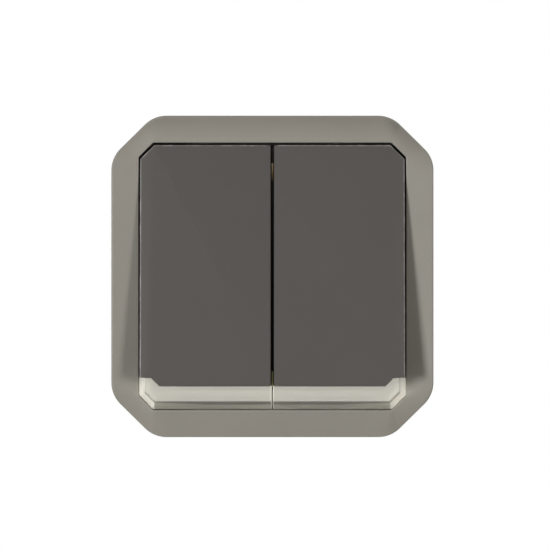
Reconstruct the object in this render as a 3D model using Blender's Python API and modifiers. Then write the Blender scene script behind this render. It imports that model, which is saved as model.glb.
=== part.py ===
"""A splash-proof wall switch module with two rockers, made as separate parts.

Metres, +Z up. The switch faces -Y. The wall plane, where the back of the bezel
seats, is y = 0, and the module is centred on x = 0 and z = 0 there. A "depth"
below is a distance in front of the wall plane, so it is -y. One "gang" is one
rocker with its own contacts; side is 1 for the right gang and -1 for the left.
Run it with: blender --background --python part.py
"""

import math

import bmesh
import bpy
from mathutils import Matrix, Vector

MM = 0.001
GAP = 0.3 * MM  # between pieces that touch in the real switch

# The bezel: an eight-sided ring with rounded corners.
BEZEL_HALF = 33.0 * MM  # centre to each straight side
BEZEL_DIAGONAL = 40.55 * MM  # centre to each corner cut
BEZEL_FILLET = 6.3 * MM
OPENING_HALF = 27.4 * MM
OPENING_DIAGONAL = 36.65 * MM
OPENING_FILLET = 0.4 * MM
FILLET_STEPS = 5
RIM_EDGE = 5.2 * MM  # depth of the front surface at the outer edge, above, below and at the corners
SIDE_LIFT = 2.8 * MM  # how much further forward that edge is along the two sides
SIDE_BLEND = 20.0 * MM  # the lift fades round a corner while |x| - |z| falls by this much
SIDE_BLEND_START = 6.0 * MM  # and it is gone where |z| is this much more than |x|
LIP_TOP = 7.4 * MM  # depth of the opening's lip at the top
LIP_BOTTOM = 7.0 * MM
EDGE_ROUND = 0.45 * MM
EDGE_SHARE = 0.3  # where the middle of the rounded edge lies
FRONT_STEPS = (0.2, 0.32, 0.44, 0.56, 0.68, 0.8, 0.9)  # shares from the outer edge to the lip
SIDE_STOPS = (0.15, 0.3, 0.45, 0.6, 0.75, 0.9)  # shares of the two upright sides, from the top
BEZEL_SKIN = 1.6 * MM
OUTER_WALL = 1.4 * MM
SKIRT_WALL = 1.1 * MM
SKIRT_END = 0.8 * MM  # depth where the wall round the opening stops

# Snap hooks of the chassis and the windows they catch in.
HOOK_PLACES = (-14 * MM, 14 * MM)
HOOK_HALF = 2.5 * MM
HOOK_RADIAL = (28.8 * MM, 29.7 * MM)
BARB_RADIAL = (28.0 * MM, 29.0 * MM)
BARB_Y = (-3.6 * MM, -2.3 * MM)
WINDOW_Y = (-3.9 * MM, -1.9 * MM)

# The gasket round the back of the bezel.
GASKET_INSET = (1.6 * MM, 2.6 * MM)
GASKET_FRONT = -2.2 * MM
GASKET_SHOULDER = -0.5 * MM

# Rockers.
FACE_TOP = 7.2 * MM  # depth of the rocker's face at its top edge
FACE_SLOPE = math.tan(math.radians(6.5))
ROCKER_BACK = 2.6 * MM  # depth of the rear edge at the top
BACK_SLOPE = 0.055
ROCKER_TOP = 26.95 * MM
ROCKER_SIDE = 27.12 * MM
ROCKER_INNER = 0.3 * MM  # half of the gap between the two rockers
ROCKER_CUT = 2.9 * MM  # leg of the cut top corner
ROCKER_WALL = 1.5 * MM
ROCKER_SKIN = 1.6 * MM
ROCKER_CHAMFER = 0.2 * MM
SEAM_EDGES = 3  # the outline's first edges, which meet the lens and stay square
NOTCH_Z = -22.33 * MM  # lower edge of the dark face
NOTCH_X = 23.0 * MM
EAR_Z = -20.68 * MM  # where the lens climbs at the outer corner
EAR_X = 24.65 * MM
LUG_SPANS = ((5.2 * MM, 8.0 * MM), (20.0 * MM, 22.6 * MM))
LUG_RADIUS = 2.4 * MM

# Lenses and the light bars inside them.
SEAM = 0.2 * MM  # between rocker and lens
LENS_INNER = 0.35 * MM
LENS_FACE_SIDE = 26.0 * MM
LENS_FACE_BOTTOM = 25.5 * MM
LENS_FACE_DIAGONAL = 49.4 * MM  # side plus bottom along the face's corner cut
LENS_SIDE = 27.15 * MM
LENS_BOTTOM = 27.15 * MM
LENS_DIAGONAL = 51.4 * MM
LENS_WALL = 0.9 * MM
LENS_BASE = 6.5 * MM
LENS_BACK = 5.6 * MM
TONGUE_PLACES = (7.5 * MM, 18.5 * MM)
TONGUE_HALF = 1.5 * MM
TONGUE_Y = (-10.0 * MM, -9.0 * MM)
TONGUE_Z = (-23.1 * MM, -19.6 * MM)
TONGUE_BARB_Y = (-10.45 * MM, -9.9 * MM)
TONGUE_BARB_Z = -20.5 * MM
LIGHT_BAR_X = (2.2 * MM, 22.4 * MM)
LIGHT_BAR_PROFILE = ((-11.2, -23.75), (-11.2, -24.3), (-6.2, -25.9), (-6.2, -23.75))

# The turning axis and the swing.
AXLE_Y = -5.0 * MM
AXLE_RADIUS = 1.2 * MM
BORE_RADIUS = 1.28 * MM
AXLE_SPAN = (3.0 * MM, 25.1 * MM)
INNER_POST = (2.1 * MM, 4.9 * MM)
OUTER_POST = (22.9 * MM, 24.9 * MM)
POST_BORE_START = 2.7 * MM
POST_RADIUS = 2.3 * MM
SWING = math.radians(6)  # between the two positions of a rocker
CONTACT_SWING = math.radians(10)

# Layers behind the rockers, as y values.
CHASSIS_FRONT = -0.4 * MM
CHASSIS_BACK = 1.6 * MM
CHASSIS_INSET = 2.85 * MM  # from the bezel's outline to the chassis's
MEMBRANE_Y = (1.9 * MM, 2.9 * MM)
COVER_Y = (3.2 * MM, 5.2 * MM)
HOUSING_Y = (5.5 * MM, 25.0 * MM)
FLOOR = 1.5 * MM
HOUSING_HALF_X = 23.4 * MM
HOUSING_HALF_Z = 24.4 * MM
HOUSING_CUT = 2.0 * MM
HOUSING_EDGE = 0.4 * MM
GRIP_PLACES = (-15.0 * MM, -9.0 * MM, -3.0 * MM, 3.0 * MM, 9.0 * MM, 15.0 * MM)
GRIP_HALF = 0.8 * MM
GRIP_Y = (7.5 * MM, 23.0 * MM)
GRIP_ROOT = 0.5 * MM
GRIP_PROUD = 0.6 * MM
RECESS = (2.6 * MM, 9.0 * MM)
RECESS_DEPTH = 0.3 * MM

# Latch tongues that grip the wall box.
LATCH_HALF = 6.0 * MM
LATCH_Z = (26.4 * MM, 27.9 * MM)
LATCH_END = 10.5 * MM
LATCH_CATCH = 7.0 * MM  # y of the flat face that holds behind the box rim
LATCH_REACH = 29.3 * MM
GUSSET_X = 3.5 * MM
GUSSET_HALF = 0.5 * MM
GUSSET_FOOT = 25.1 * MM
GUSSET_END = 8.0 * MM

# Stiffening ribs on the back of the chassis.
RIB_INSET = (4.6 * MM, 5.7 * MM)  # from the bezel's outline
RIB_HEIGHT = 1.2 * MM
RIB_HALF = 0.5 * MM
SPOKE_PLACES = (-17.5 * MM, -10.5 * MM, 10.5 * MM, 17.5 * MM)
SPOKE_START = 24.9 * MM

# Layout of one gang; x values are for the right one.
GANG_X = 11.5 * MM
CHAMBER_HALF_X = 6.6 * MM
CENTRE_HALF_Z = 6.2 * MM
TERMINAL_Z = (8.8 * MM, 19.7 * MM)
PARTITION_FRONT = 11.0 * MM
SCREW_X = 20.4 * MM
SCREW_Z = 21.4 * MM

# Case screws.
SCREW_RADIUS = 1.05 * MM
SCREW_HOLE = 1.35 * MM
SCREW_TIP = -1.4 * MM
SCREW_HEAD_RADIUS = 1.8 * MM
SCREW_HEAD_HOLE = 2.1 * MM
SCREW_HEAD_Y = (23.2 * MM, 24.6 * MM)
SCREW_SEAT = 22.9 * MM
SCREW_SLOT_HALF = 0.25 * MM
SCREW_SLOT_DEPTH = 0.6 * MM
BOSS_RADIUS = 2.4 * MM
BOSS_FRONT = -2.2 * MM
BOSS_BORE_END = -1.7 * MM

# Actuators, which reach from the rockers through the membrane.
HUB_HALF = 3.0 * MM
PLATE_HALF_X = 3.2 * MM
PLATE_HALF_Z = 5.0 * MM
PLATE_Y = (-8.0 * MM, -7.2 * MM)
CLIP_HALF_X = 2.6 * MM
CLIP_Z = (5.4 * MM, 6.5 * MM)
CLIP_LIP_Z = 4.5 * MM
CLIP_LIP = 0.7 * MM
NECK_HALF_X = 2.2 * MM
NECK_HALF_Z = 1.5 * MM
NECK_END = 6.2 * MM
PIN_RADIUS = 0.6 * MM
PIN_LENGTH = 0.7 * MM
ACTUATOR_SLOT = (2.6 * MM, 2.6 * MM)
COLLAR = (3.7 * MM, 3.7 * MM)
COLLAR_FRONT = -1.2 * MM
CHASSIS_WINDOW = (4.6 * MM, 5.5 * MM)

# Contacts.
STRIP = 0.6 * MM
STRIP_HALF_X = 5.5 * MM
CONTACT_Z = 2.1 * MM
CONTACT_FRONT = 7.2 * MM
CONTACT_TIP = 10.4 * MM
BUSBAR_END = 22.2 * MM
BUSBAR_Z = 10.1 * MM
COMMON_BUSBAR_Z = -4.8 * MM
COMMON_FRONT = 15.8 * MM
COMMON_TOP = 2.9 * MM
FORK_INNER = 2.2 * MM
FORK_OUTER = 3.8 * MM
FORK_Y = (8.0 * MM, 11.5 * MM)
LEVER_END = 15.2 * MM
LEVER_PIVOT = 15.5 * MM
LEVER_HALF = 0.5 * MM
LEVER_PIN_RADIUS = 0.42 * MM
RIVET_Y = 9.0 * MM
RIVET_RADIUS = 0.7 * MM
RIVET_HEIGHT = 1.0 * MM
SPRING_RADIUS = 1.15 * MM
SPRING_WIRE = 0.2 * MM
SPRING_TURNS = 4.5
SPRING_STEPS = 14  # in each turn
SPRING_INSET = 0.5 * MM

# Push-in clamps; heights are measured from the busbar.
CLAMP_STRIP = 0.3 * MM
CLAMP_HALF_X = 5.4 * MM
CLAMP_BACK_LEG = ((16.8 * MM, 8.7 * MM), (21.5 * MM, 8.7 * MM))
CLAMP_BEND_RADIUS = 0.9 * MM
CLAMP_BEND_STEPS = 8
CLAMP_TIP = (16.8 * MM, 1.9 * MM)
WIRE_RISE = 1.8 * MM
WIRE_RADIUS = 1.6 * MM
WIRE_OFFSET = 4.2 * MM
FUNNEL_DEPTH = 0.8 * MM
FUNNEL_FLARE = 0.4 * MM
BUTTON_RISE = (2.95 * MM, 4.65 * MM)
BUTTON_HALF_X = 2.05 * MM
BUTTON_PROFILE = (
    (18.9, 2.95), (26.2, 2.95), (26.2, 4.65), (23.2, 4.65), (23.2, 5.3),
    (21.5, 5.3), (21.5, 4.65), (20.1, 4.65), (18.9, 3.4),
)
SLIDING_GAP = 0.15 * MM

# Indicator lamps.
LAMP_X = 12.6 * MM
LAMP_Z = -22.0 * MM
LAMP_POCKET = (4.3 * MM, 2.3 * MM)
LAMP_WINDOW = (2.2 * MM, 1.7 * MM)
POCKET_FRONT = 0.1 * MM
BOARD = (4.0 * MM, 2.0 * MM)
BOARD_Y = (0.4 * MM, 1.2 * MM)
LED = (1.5 * MM, 1.0 * MM)
LED_Y = (-1.5 * MM, 0.1 * MM)

# Colours as linear RGB, with roughness and metallic value.
MATERIALS = {
    "bezel_grey": ((0.255, 0.245, 0.215), 0.5, 0.0),
    "rocker_anthracite": ((0.098, 0.089, 0.083), 0.55, 0.0),
    "clear_lens": ((0.75, 0.74, 0.70), 0.12, 0.0),
    "white_diffuser": ((0.78, 0.77, 0.72), 0.5, 0.0),
    "seal_rubber": ((0.03, 0.03, 0.03), 0.8, 0.0),
    "membrane_silicone": ((0.10, 0.095, 0.085), 0.65, 0.0),
    "chassis_polyamide": ((0.045, 0.043, 0.040), 0.5, 0.0),
    "case_polyamide": ((0.20, 0.20, 0.19), 0.5, 0.0),
    "actuator_white": ((0.72, 0.71, 0.66), 0.45, 0.0),
    "release_orange": ((0.75, 0.20, 0.03), 0.45, 0.0),
    "brass": ((0.72, 0.48, 0.18), 0.3, 1.0),
    "contact_silver": ((0.80, 0.72, 0.58), 0.3, 1.0),
    "spring_steel": ((0.55, 0.55, 0.56), 0.3, 1.0),
    "zinc_steel": ((0.62, 0.63, 0.65), 0.35, 1.0),
    "board_green": ((0.05, 0.22, 0.06), 0.45, 0.0),
    "led_clear": ((0.80, 0.86, 0.55), 0.15, 0.0),
}


# Scene and object helpers.


def clear_scene():
    for obj in list(bpy.data.objects):
        bpy.data.objects.remove(obj, do_unlink=True)


def new_collection(name):
    collection = bpy.data.collections.new(name)
    bpy.context.scene.collection.children.link(collection)
    return collection


def new_material(name, colour, roughness, metallic):
    material = bpy.data.materials.new(name)
    material.use_nodes = True
    shader = material.node_tree.nodes["Principled BSDF"]
    shader.inputs["Base Color"].default_value = (*colour, 1.0)
    shader.inputs["Roughness"].default_value = roughness
    shader.inputs["Metallic"].default_value = metallic
    return material


def object_from(name, mesh_data):
    """A new object from a bmesh, whose normals are made to point out. It starts among the tools."""
    bmesh.ops.recalc_face_normals(mesh_data, faces=mesh_data.faces)
    mesh = bpy.data.meshes.new(name)
    mesh_data.to_mesh(mesh)
    mesh_data.free()
    obj = bpy.data.objects.new(name, mesh)
    TOOLS.objects.link(obj)
    obj.hide_render = True
    obj.display_type = "WIRE"
    return obj


def make_part(obj, material):
    """Turns a shape into a part of the switch, with its material."""
    TOOLS.objects.unlink(obj)
    PARTS.objects.link(obj)
    obj.hide_render = False
    obj.display_type = "TEXTURED"
    obj.data.materials.append(bpy.data.materials[material])
    return obj


def box(name, x, y, z):
    """A box between two values along each axis."""
    mesh_data = bmesh.new()
    bmesh.ops.create_cube(mesh_data, size=1)
    size = [abs(high - low) for low, high in (x, y, z)]
    middle = [(low + high) / 2 for low, high in (x, y, z)]
    bmesh.ops.scale(mesh_data, vec=size, verts=mesh_data.verts)
    bmesh.ops.translate(mesh_data, vec=middle, verts=mesh_data.verts)
    return object_from(name, mesh_data)


def cylinder(name, axis, centre, radius, start, end, segments=20, end_radius=None):
    """A cylinder or cone along an axis. centre gives the two other coordinates, in order."""
    mesh_data = bmesh.new()
    bmesh.ops.create_cone(
        mesh_data, cap_ends=True, segments=segments, radius1=radius,
        radius2=end_radius or radius, depth=end - start,
    )
    middle = (start + end) / 2
    if axis == "X":
        turn = Matrix.Rotation(math.pi / 2, 4, "Y")
        place = Vector((middle, centre[0], centre[1]))
    elif axis == "Y":
        turn = Matrix.Rotation(-math.pi / 2, 4, "X")
        place = Vector((centre[0], middle, centre[1]))
    else:
        turn = Matrix.Identity(4)
        place = Vector((centre[0], centre[1], middle))
    bmesh.ops.transform(mesh_data, matrix=Matrix.Translation(place) @ turn, verts=mesh_data.verts)
    return object_from(name, mesh_data)


def prism(name, axis, outline, start, end):
    """A flat outline extruded along an axis. Its points give the two other coordinates, in order."""
    place = {
        "X": lambda u, v: (start, u, v),
        "Y": lambda u, v: (u, start, v),
        "Z": lambda u, v: (u, v, start),
    }[axis]
    direction = {"X": (1, 0, 0), "Y": (0, 1, 0), "Z": (0, 0, 1)}[axis]
    mesh_data = bmesh.new()
    face = mesh_data.faces.new([mesh_data.verts.new(place(u, v)) for u, v in outline])
    made = bmesh.ops.extrude_face_region(mesh_data, geom=[face])["geom"]
    moved = [v for v in made if isinstance(v, bmesh.types.BMVert)]
    bmesh.ops.translate(mesh_data, vec=Vector(direction) * (end - start), verts=moved)
    return object_from(name, mesh_data)


def loft(name, loops, closed=False):
    """A solid through matching loops of points, capped at both ends or closed into a ring."""
    mesh_data = bmesh.new()
    rings = [[mesh_data.verts.new(point) for point in loop] for loop in loops]
    count = len(rings[0])
    pairs = list(zip(rings, rings[1:]))
    if closed:
        pairs.append((rings[-1], rings[0]))
    for first, second in pairs:
        for i in range(count):
            j = (i + 1) % count
            mesh_data.faces.new((first[i], first[j], second[j], second[i]))
    if not closed:
        mesh_data.faces.new(rings[0])
        mesh_data.faces.new(list(reversed(rings[-1])))
    return object_from(name, mesh_data)


def ring(name, outer, inner, start, end):
    """A flat ring between two outlines of as many points, extruded along Y."""
    sections = [
        [(ox, start, oz), (ox, end, oz), (ix, end, iz), (ix, start, iz)]
        for (ox, oz), (ix, iz) in zip(outer, inner)
    ]
    return loft(name, sections, closed=True)


def combine(obj, operation, tools):
    for tool in tools:
        modifier = obj.modifiers.new(tool.name, "BOOLEAN")
        modifier.operation = operation
        modifier.object = tool
        modifier.solver = "EXACT"
    return obj


def cut(obj, *tools):
    return combine(obj, "DIFFERENCE", tools)


def join(obj, *tools):
    return combine(obj, "UNION", tools)


def bevel(obj, width):
    """Breaks the square edges, and leaves the blunter ones."""
    modifier = obj.modifiers.new("Bevel", "BEVEL")
    modifier.width = width
    modifier.segments = 1
    modifier.limit_method = "ANGLE"
    modifier.angle_limit = math.radians(60)
    return obj


def set_origin(obj, place):
    """Moves the object's origin, and leaves its shape where it is."""
    obj.data.transform(Matrix.Translation(-Vector(place)))
    obj.location = place


def turn_about(obj, axis_y, angle):
    """Puts the object's origin on an axis along X at height 0, and turns the object about it."""
    set_origin(obj, (0, axis_y, 0))
    obj.rotation_euler = (angle, 0, 0)


# Outlines.


def arc(centre, radius, start, end, segments):
    """Points of an arc, with angles in degrees."""
    points = []
    for i in range(segments + 1):
        angle = math.radians(start + (end - start) * i / segments)
        points.append((centre[0] + radius * math.cos(angle), centre[1] + radius * math.sin(angle)))
    return points


def octagon(half, diagonal, fillet, side_stops=()):
    """Points round a square with cut and rounded corners, anticlockwise from the upper right.

    side_stops are shares of the two upright sides, from the top, where extra points go.
    """
    near = diagonal * math.sqrt(2) - half
    corners = [
        (half, near), (near, half), (-near, half), (-half, near),
        (-half, -near), (-near, -half), (near, -half), (half, -near),
    ]
    reach = fillet / math.cos(math.pi / 8)
    points = []
    for i, (x, z) in enumerate(corners):
        bisector = math.radians(22.5 + 45 * i)
        centre = (x - reach * math.cos(bisector), z - reach * math.sin(bisector))
        points += arc(centre, fillet, 45 * i, 45 * (i + 1), FILLET_STEPS)
        if i in (3, 7):
            tangent = fillet * math.tan(math.pi / 8)
            top = near - tangent
            stops = side_stops if i == 3 else reversed(side_stops)
            points += [(x, top - 2 * top * stop) for stop in stops]
    return points


def inset(outline, distance):
    """The outline moved inwards. Its points run anticlockwise."""
    moved = []
    for i, point in enumerate(outline):
        before, after = Vector(outline[i - 1]), Vector(outline[(i + 1) % len(outline)])
        point = Vector(point)
        a, b = (point - before).normalized(), (after - point).normalized()
        normal_a, normal_b = Vector((-a.y, a.x)), Vector((-b.y, b.x))
        corner = (normal_a + normal_b).normalized()
        moved.append(tuple(point + corner * distance / corner.dot(normal_a)))
    return moved


def inset_edges(outline, distances):
    """The outline with each edge moved inwards by a distance of its own."""
    normals = []
    for i, point in enumerate(outline):
        along = (Vector(outline[(i + 1) % len(outline)]) - Vector(point)).normalized()
        normals.append(Vector((-along.y, along.x)))
    moved = []
    for i, point in enumerate(outline):
        before, after = normals[i - 1], normals[i]
        share = before.dot(after)
        shift = before * (distances[i - 1] - distances[i] * share)
        shift += after * (distances[i] - distances[i - 1] * share)
        moved.append(tuple(Vector(point) + shift / (1 - share * share)))
    return moved


def strip_outline(path, thickness):
    """The outline of a bent strip whose middle line is path."""
    left, right = [], []
    for i, point in enumerate(path):
        point = Vector(point)
        ahead = (Vector(path[i + 1]) - point).normalized() if i < len(path) - 1 else None
        behind = (point - Vector(path[i - 1])).normalized() if i > 0 else None
        ahead, behind = ahead or behind, behind or ahead
        side = (Vector((-ahead.y, ahead.x)) + Vector((-behind.y, behind.x))).normalized()
        reach = thickness / 2 / side.dot(Vector((-ahead.y, ahead.x)))
        left.append(tuple(point + side * reach))
        right.append(tuple(point - side * reach))
    return left + right[::-1]


def mirrored(outline, side):
    """The outline for one gang. On the left it is mirrored, and its order turns round."""
    return list(outline) if side > 0 else [(-u, v) for u, v in reversed(outline)]


def span(side, low, high):
    """Two x values of one gang, in rising order."""
    return tuple(sorted((side * low, side * high)))


def around(middle, half):
    """The two values at half on either side of a middle."""
    return (middle - half, middle + half)


# The bezel and what seals it.


def smoothstep(value):
    value = min(1.0, max(0.0, value))
    return value * value * (3 - 2 * value)


def sideness(outer):
    """1 along the two upright sides, fading to 0 round each corner."""
    return smoothstep((abs(outer.x) - abs(outer.y) + SIDE_BLEND_START) / SIDE_BLEND)


def rim_depth(t, side, z):
    """Depth of the bezel's front at share t from the outer edge to the lip, and at height z."""
    lowness = smoothstep((12 * MM - z) / (36 * MM))
    straightness = lowness + side * (1 - lowness)
    dome = 1 - (1 - t) ** 2
    lip = LIP_TOP + (LIP_BOTTOM - LIP_TOP) * lowness
    edge = RIM_EDGE + SIDE_LIFT * side
    return edge + (lip - edge) * (dome + (t - dome) * straightness)


def bezel_outline(step, side_stops=()):
    """The bezel's outline, moved inwards by a step."""
    return octagon(BEZEL_HALF - step, BEZEL_DIAGONAL - step, BEZEL_FILLET - step, side_stops)


def opening_outline(step, side_stops=()):
    """The opening's outline, moved outwards by a step."""
    return octagon(OPENING_HALF + step, OPENING_DIAGONAL + step, OPENING_FILLET + step, side_stops)


def bezel_solid():
    outer = bezel_outline(0, SIDE_STOPS)
    wall = bezel_outline(OUTER_WALL, SIDE_STOPS)
    skirt = opening_outline(SKIRT_WALL, SIDE_STOPS)
    lip = opening_outline(0, SIDE_STOPS)
    sections = []
    for points in zip(outer, wall, skirt, lip):
        o, w, s, i = (Vector(p) for p in points)
        width = (i - o).length
        side = sideness(o)

        def front(t):
            place = o.lerp(i, t)
            return place, rim_depth(t, side, place.y)

        def under(place):
            t = (place - o).length / width
            return place, front(min(t, 1.0))[1] - BEZEL_SKIN

        edge = EDGE_ROUND / width
        edge_depth = front(0)[1]
        section = [(o, 0.0), (o, edge_depth - EDGE_ROUND)]
        section.append((o.lerp(i, edge * EDGE_SHARE), edge_depth - EDGE_ROUND * EDGE_SHARE))
        section += [front(t) for t in (edge, *FRONT_STEPS)]
        section.append(front(1 - edge / 2))
        section.append((i, front(1)[1] - EDGE_ROUND / 2))
        section += [(i, SKIRT_END), (s, SKIRT_END), under(s), under(s.lerp(w, 0.5)), under(w), (w, 0.0)]
        sections.append([(p.x, -depth, p.y) for p, depth in section])
    return loft("bezel", sections, closed=True)


def side_boxes(name, half, radial, y):
    """Boxes at the two hook places on each of the four sides, a radial span out from the middle."""
    boxes = []
    for side in (-1, 1):
        across = span(side, *radial)
        for index, place in enumerate(HOOK_PLACES):
            along = (place - half, place + half)
            boxes.append(box(f"{name}_x_{side}_{index}", across, y, along))
            boxes.append(box(f"{name}_z_{side}_{index}", along, y, across))
    return boxes


def build_bezel():
    radial = (OPENING_HALF - GAP, HOOK_RADIAL[0])
    windows = side_boxes("catch_window", HOOK_HALF + GAP, radial, WINDOW_Y)
    make_part(cut(bezel_solid(), *windows), "bezel_grey")


def build_gasket():
    outer, inner = (bezel_outline(step) for step in GASKET_INSET)
    sections = []
    for (ox, oz), (ix, iz) in zip(outer, inner):
        sections.append([
            (ox, GASKET_FRONT, oz), (ox, GASKET_SHOULDER, oz), ((ox + ix) / 2, 0.0, (oz + iz) / 2),
            (ix, GASKET_SHOULDER, iz), (ix, GASKET_FRONT, iz),
        ])
    make_part(loft("bezel_gasket", sections, closed=True), "seal_rubber")


# Rockers, lenses and light bars.


def lobe(name, across, root, radius):
    """A block from its root to the turning axis, with a round end on the axis."""
    block = box(f"{name}_block", across, (root, AXLE_Y), (-radius, radius))
    return [block, cylinder(f"{name}_end", "X", (AXLE_Y, 0), radius, *across, segments=24)]


def face_depth(z):
    return FACE_TOP + (ROCKER_TOP - z) * FACE_SLOPE


def back_depth(z):
    return ROCKER_BACK + (ROCKER_TOP - z) * BACK_SLOPE


def on_surface(outline, depth):
    """The outline's points at the depth that a function gives for their height."""
    return [(x, -depth(z), z) for x, z in outline]


def rocker_outline():
    return [
        (ROCKER_INNER, NOTCH_Z), (NOTCH_X, NOTCH_Z), (EAR_X, EAR_Z), (ROCKER_SIDE, EAR_Z),
        (ROCKER_SIDE, ROCKER_TOP - ROCKER_CUT), (ROCKER_SIDE - ROCKER_CUT, ROCKER_TOP),
        (ROCKER_INNER, ROCKER_TOP),
    ]


def build_rocker(side, hand):
    outline = mirrored(rocker_outline(), side)
    chamfers = [0.0 if i < SEAM_EDGES else ROCKER_CHAMFER for i in range(len(outline))]
    face = mirrored(inset_edges(rocker_outline(), chamfers), side)
    rocker = loft(f"rocker_{hand}", [
        on_surface(face, face_depth),
        on_surface(outline, lambda z: face_depth(z) - ROCKER_CHAMFER),
        on_surface(outline, back_depth),
    ])
    inside = inset(outline, ROCKER_WALL)
    hollow = loft(f"rocker_hollow_{hand}", [
        on_surface(inside, lambda z: face_depth(z) - ROCKER_SKIN),
        on_surface(inside, lambda z: back_depth(z) - ROCKER_SKIN),
    ])
    cut(rocker, hollow)
    join(rocker, *lugs(side, hand), *clips(side, hand))
    bore_x = span(side, INNER_POST[1], OUTER_POST[0])
    bore = cylinder(f"lug_bore_{hand}", "X", (AXLE_Y, 0), BORE_RADIUS, *bore_x)
    slot_y = (TONGUE_BARB_Y[0] - GAP, TONGUE_Y[1] + GAP)
    slot_z = (NOTCH_Z - GAP, NOTCH_Z + ROCKER_WALL + GAP)
    slots = [
        box(f"tongue_slot_{hand}_{i}", around(side * place, TONGUE_HALF + GAP), slot_y, slot_z)
        for i, place in enumerate(TONGUE_PLACES)
    ]
    cut(rocker, bore, *slots)
    set_origin(rocker, (0, AXLE_Y, 0))
    make_part(rocker, "rocker_anthracite")


def lugs(side, hand):
    """Lugs under the rocker's face that the axle runs through."""
    shapes = []
    for i, (low, high) in enumerate(LUG_SPANS):
        across = span(side, low, high)
        root = ROCKER_SKIN / 2 - face_depth(0)
        shapes += lobe(f"lug_{hand}_{i}", across, root, LUG_RADIUS)
    return shapes


def clips(side, hand):
    """Two ribs under the face, with lips that hold the actuator's plate."""
    shapes = []
    across = around(side * GANG_X, CLIP_HALF_X)
    for up in (-1, 1):
        rib_z = span(up, *CLIP_Z)
        lip_z = span(up, CLIP_LIP_Z, CLIP_Z[1])
        plate_back = PLATE_Y[1] + up * PLATE_HALF_Z * math.sin(SWING / 2)
        lip = (plate_back + GAP, plate_back + GAP + CLIP_LIP)
        root = ROCKER_SKIN / 2 - face_depth(up * CLIP_Z[0])
        shapes.append(box(f"clip_rib_{hand}_{up}", across, (root, lip[1]), rib_z))
        shapes.append(box(f"clip_lip_{hand}_{up}", across, lip, lip_z))
    return shapes


def lens_outline(lower_side, bottom, diagonal):
    """The lens from the front: the cut lower corner, the ear at the outer end and the seam."""
    shift = SEAM * math.tan(math.pi / 8)
    return [
        (LENS_INNER, -bottom), (diagonal - bottom, -bottom), (lower_side, lower_side - diagonal),
        (lower_side, EAR_Z - SEAM), (EAR_X + shift, EAR_Z - SEAM), (NOTCH_X + shift, NOTCH_Z - SEAM),
        (LENS_INNER, NOTCH_Z - SEAM),
    ]


def build_lens(side, hand):
    face = mirrored(lens_outline(LENS_FACE_SIDE, LENS_FACE_BOTTOM, LENS_FACE_DIAGONAL), side)
    base = mirrored(lens_outline(LENS_SIDE, LENS_BOTTOM, LENS_DIAGONAL), side)
    lens = loft(f"lens_{hand}", [
        on_surface(face, face_depth),
        on_surface(base, lambda z: LENS_BASE),
        on_surface(base, lambda z: LENS_BACK),
    ])
    inner_face, inner_base = inset(face, LENS_WALL), inset(base, LENS_WALL)
    hollow = loft(f"lens_hollow_{hand}", [
        on_surface(inner_face, lambda z: face_depth(z) - LENS_WALL),
        on_surface(inner_base, lambda z: LENS_BASE),
        on_surface(inner_base, lambda z: LENS_BACK - LENS_WALL),
    ])
    cut(lens, hollow)
    tongues = []
    for i, place in enumerate(TONGUE_PLACES):
        across = around(side * place, TONGUE_HALF)
        tongues.append(box(f"tongue_{hand}_{i}", across, TONGUE_Y, TONGUE_Z))
        barb_z = (TONGUE_BARB_Z, TONGUE_Z[1])
        tongues.append(box(f"tongue_barb_{hand}_{i}", across, TONGUE_BARB_Y, barb_z))
    join(lens, *tongues)
    set_origin(lens, (0, AXLE_Y, 0))
    make_part(lens, "clear_lens")


def build_diffuser(side, hand):
    outline = [(y * MM, z * MM) for y, z in LIGHT_BAR_PROFILE]
    bar = prism(f"diffuser_{hand}", "X", outline, *span(side, *LIGHT_BAR_X))
    set_origin(bar, (0, AXLE_Y, 0))
    make_part(bar, "white_diffuser")


def build_axle(side, hand):
    axle = cylinder(f"axle_{hand}", "X", (AXLE_Y, 0), AXLE_RADIUS, *span(side, *AXLE_SPAN))
    make_part(axle, "zinc_steel")


# The chassis, the membrane and the case.


def plate_outline():
    """The cut-cornered outline that the membrane, the cover and the housing share."""
    x, z, c = HOUSING_HALF_X, HOUSING_HALF_Z, HOUSING_CUT
    right = [(x - c, -z), (x, c - z), (x, z - c), (x - c, z)]
    return right + [(-u, v) for u, v in reversed(right)]


def screw_holes(name, radius, y):
    """One cylinder at each case screw, between two y values."""
    return [
        cylinder(f"{name}_{i}", "Y", place, radius, *y, segments=16)
        for i, place in enumerate(screw_places())
    ]


def screw_places():
    return [(side * SCREW_X, up * SCREW_Z) for up in (1, -1) for side in (-1, 1)]


def gang_boxes(name, half, y, centre=(GANG_X, 0)):
    """One box in each gang, with half sizes in X and Z."""
    return [
        box(f"{name}_{hand}", around(side * centre[0], half[0]), y, around(centre[1], half[1]))
        for side, hand in GANGS
    ]


def latches(root):
    """Tongues above and below the case, each with a barb that catches behind the box's rim."""
    shapes = []
    along = (-LATCH_HALF, LATCH_HALF)
    for up in (-1, 1):
        shapes.append(box(f"latch_{up}", along, (root, LATCH_END), span(up, *LATCH_Z)))
        inside = up * (LATCH_Z[0] + GAP)
        outline = [
            (LATCH_CATCH, inside), (LATCH_CATCH, up * LATCH_REACH),
            (LATCH_END, up * LATCH_Z[1]), (LATCH_END, inside),
        ]
        shapes.append(prism(f"latch_barb_{up}", "X", outline, *along))
        gusset = [(root, up * GUSSET_FOOT), (root, inside), (GUSSET_END, inside)]
        for i, x in enumerate(around(0, GUSSET_X)):
            shapes.append(prism(f"gusset_{up}_{i}", "X", gusset, *around(x, GUSSET_HALF)))
    return shapes


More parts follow.
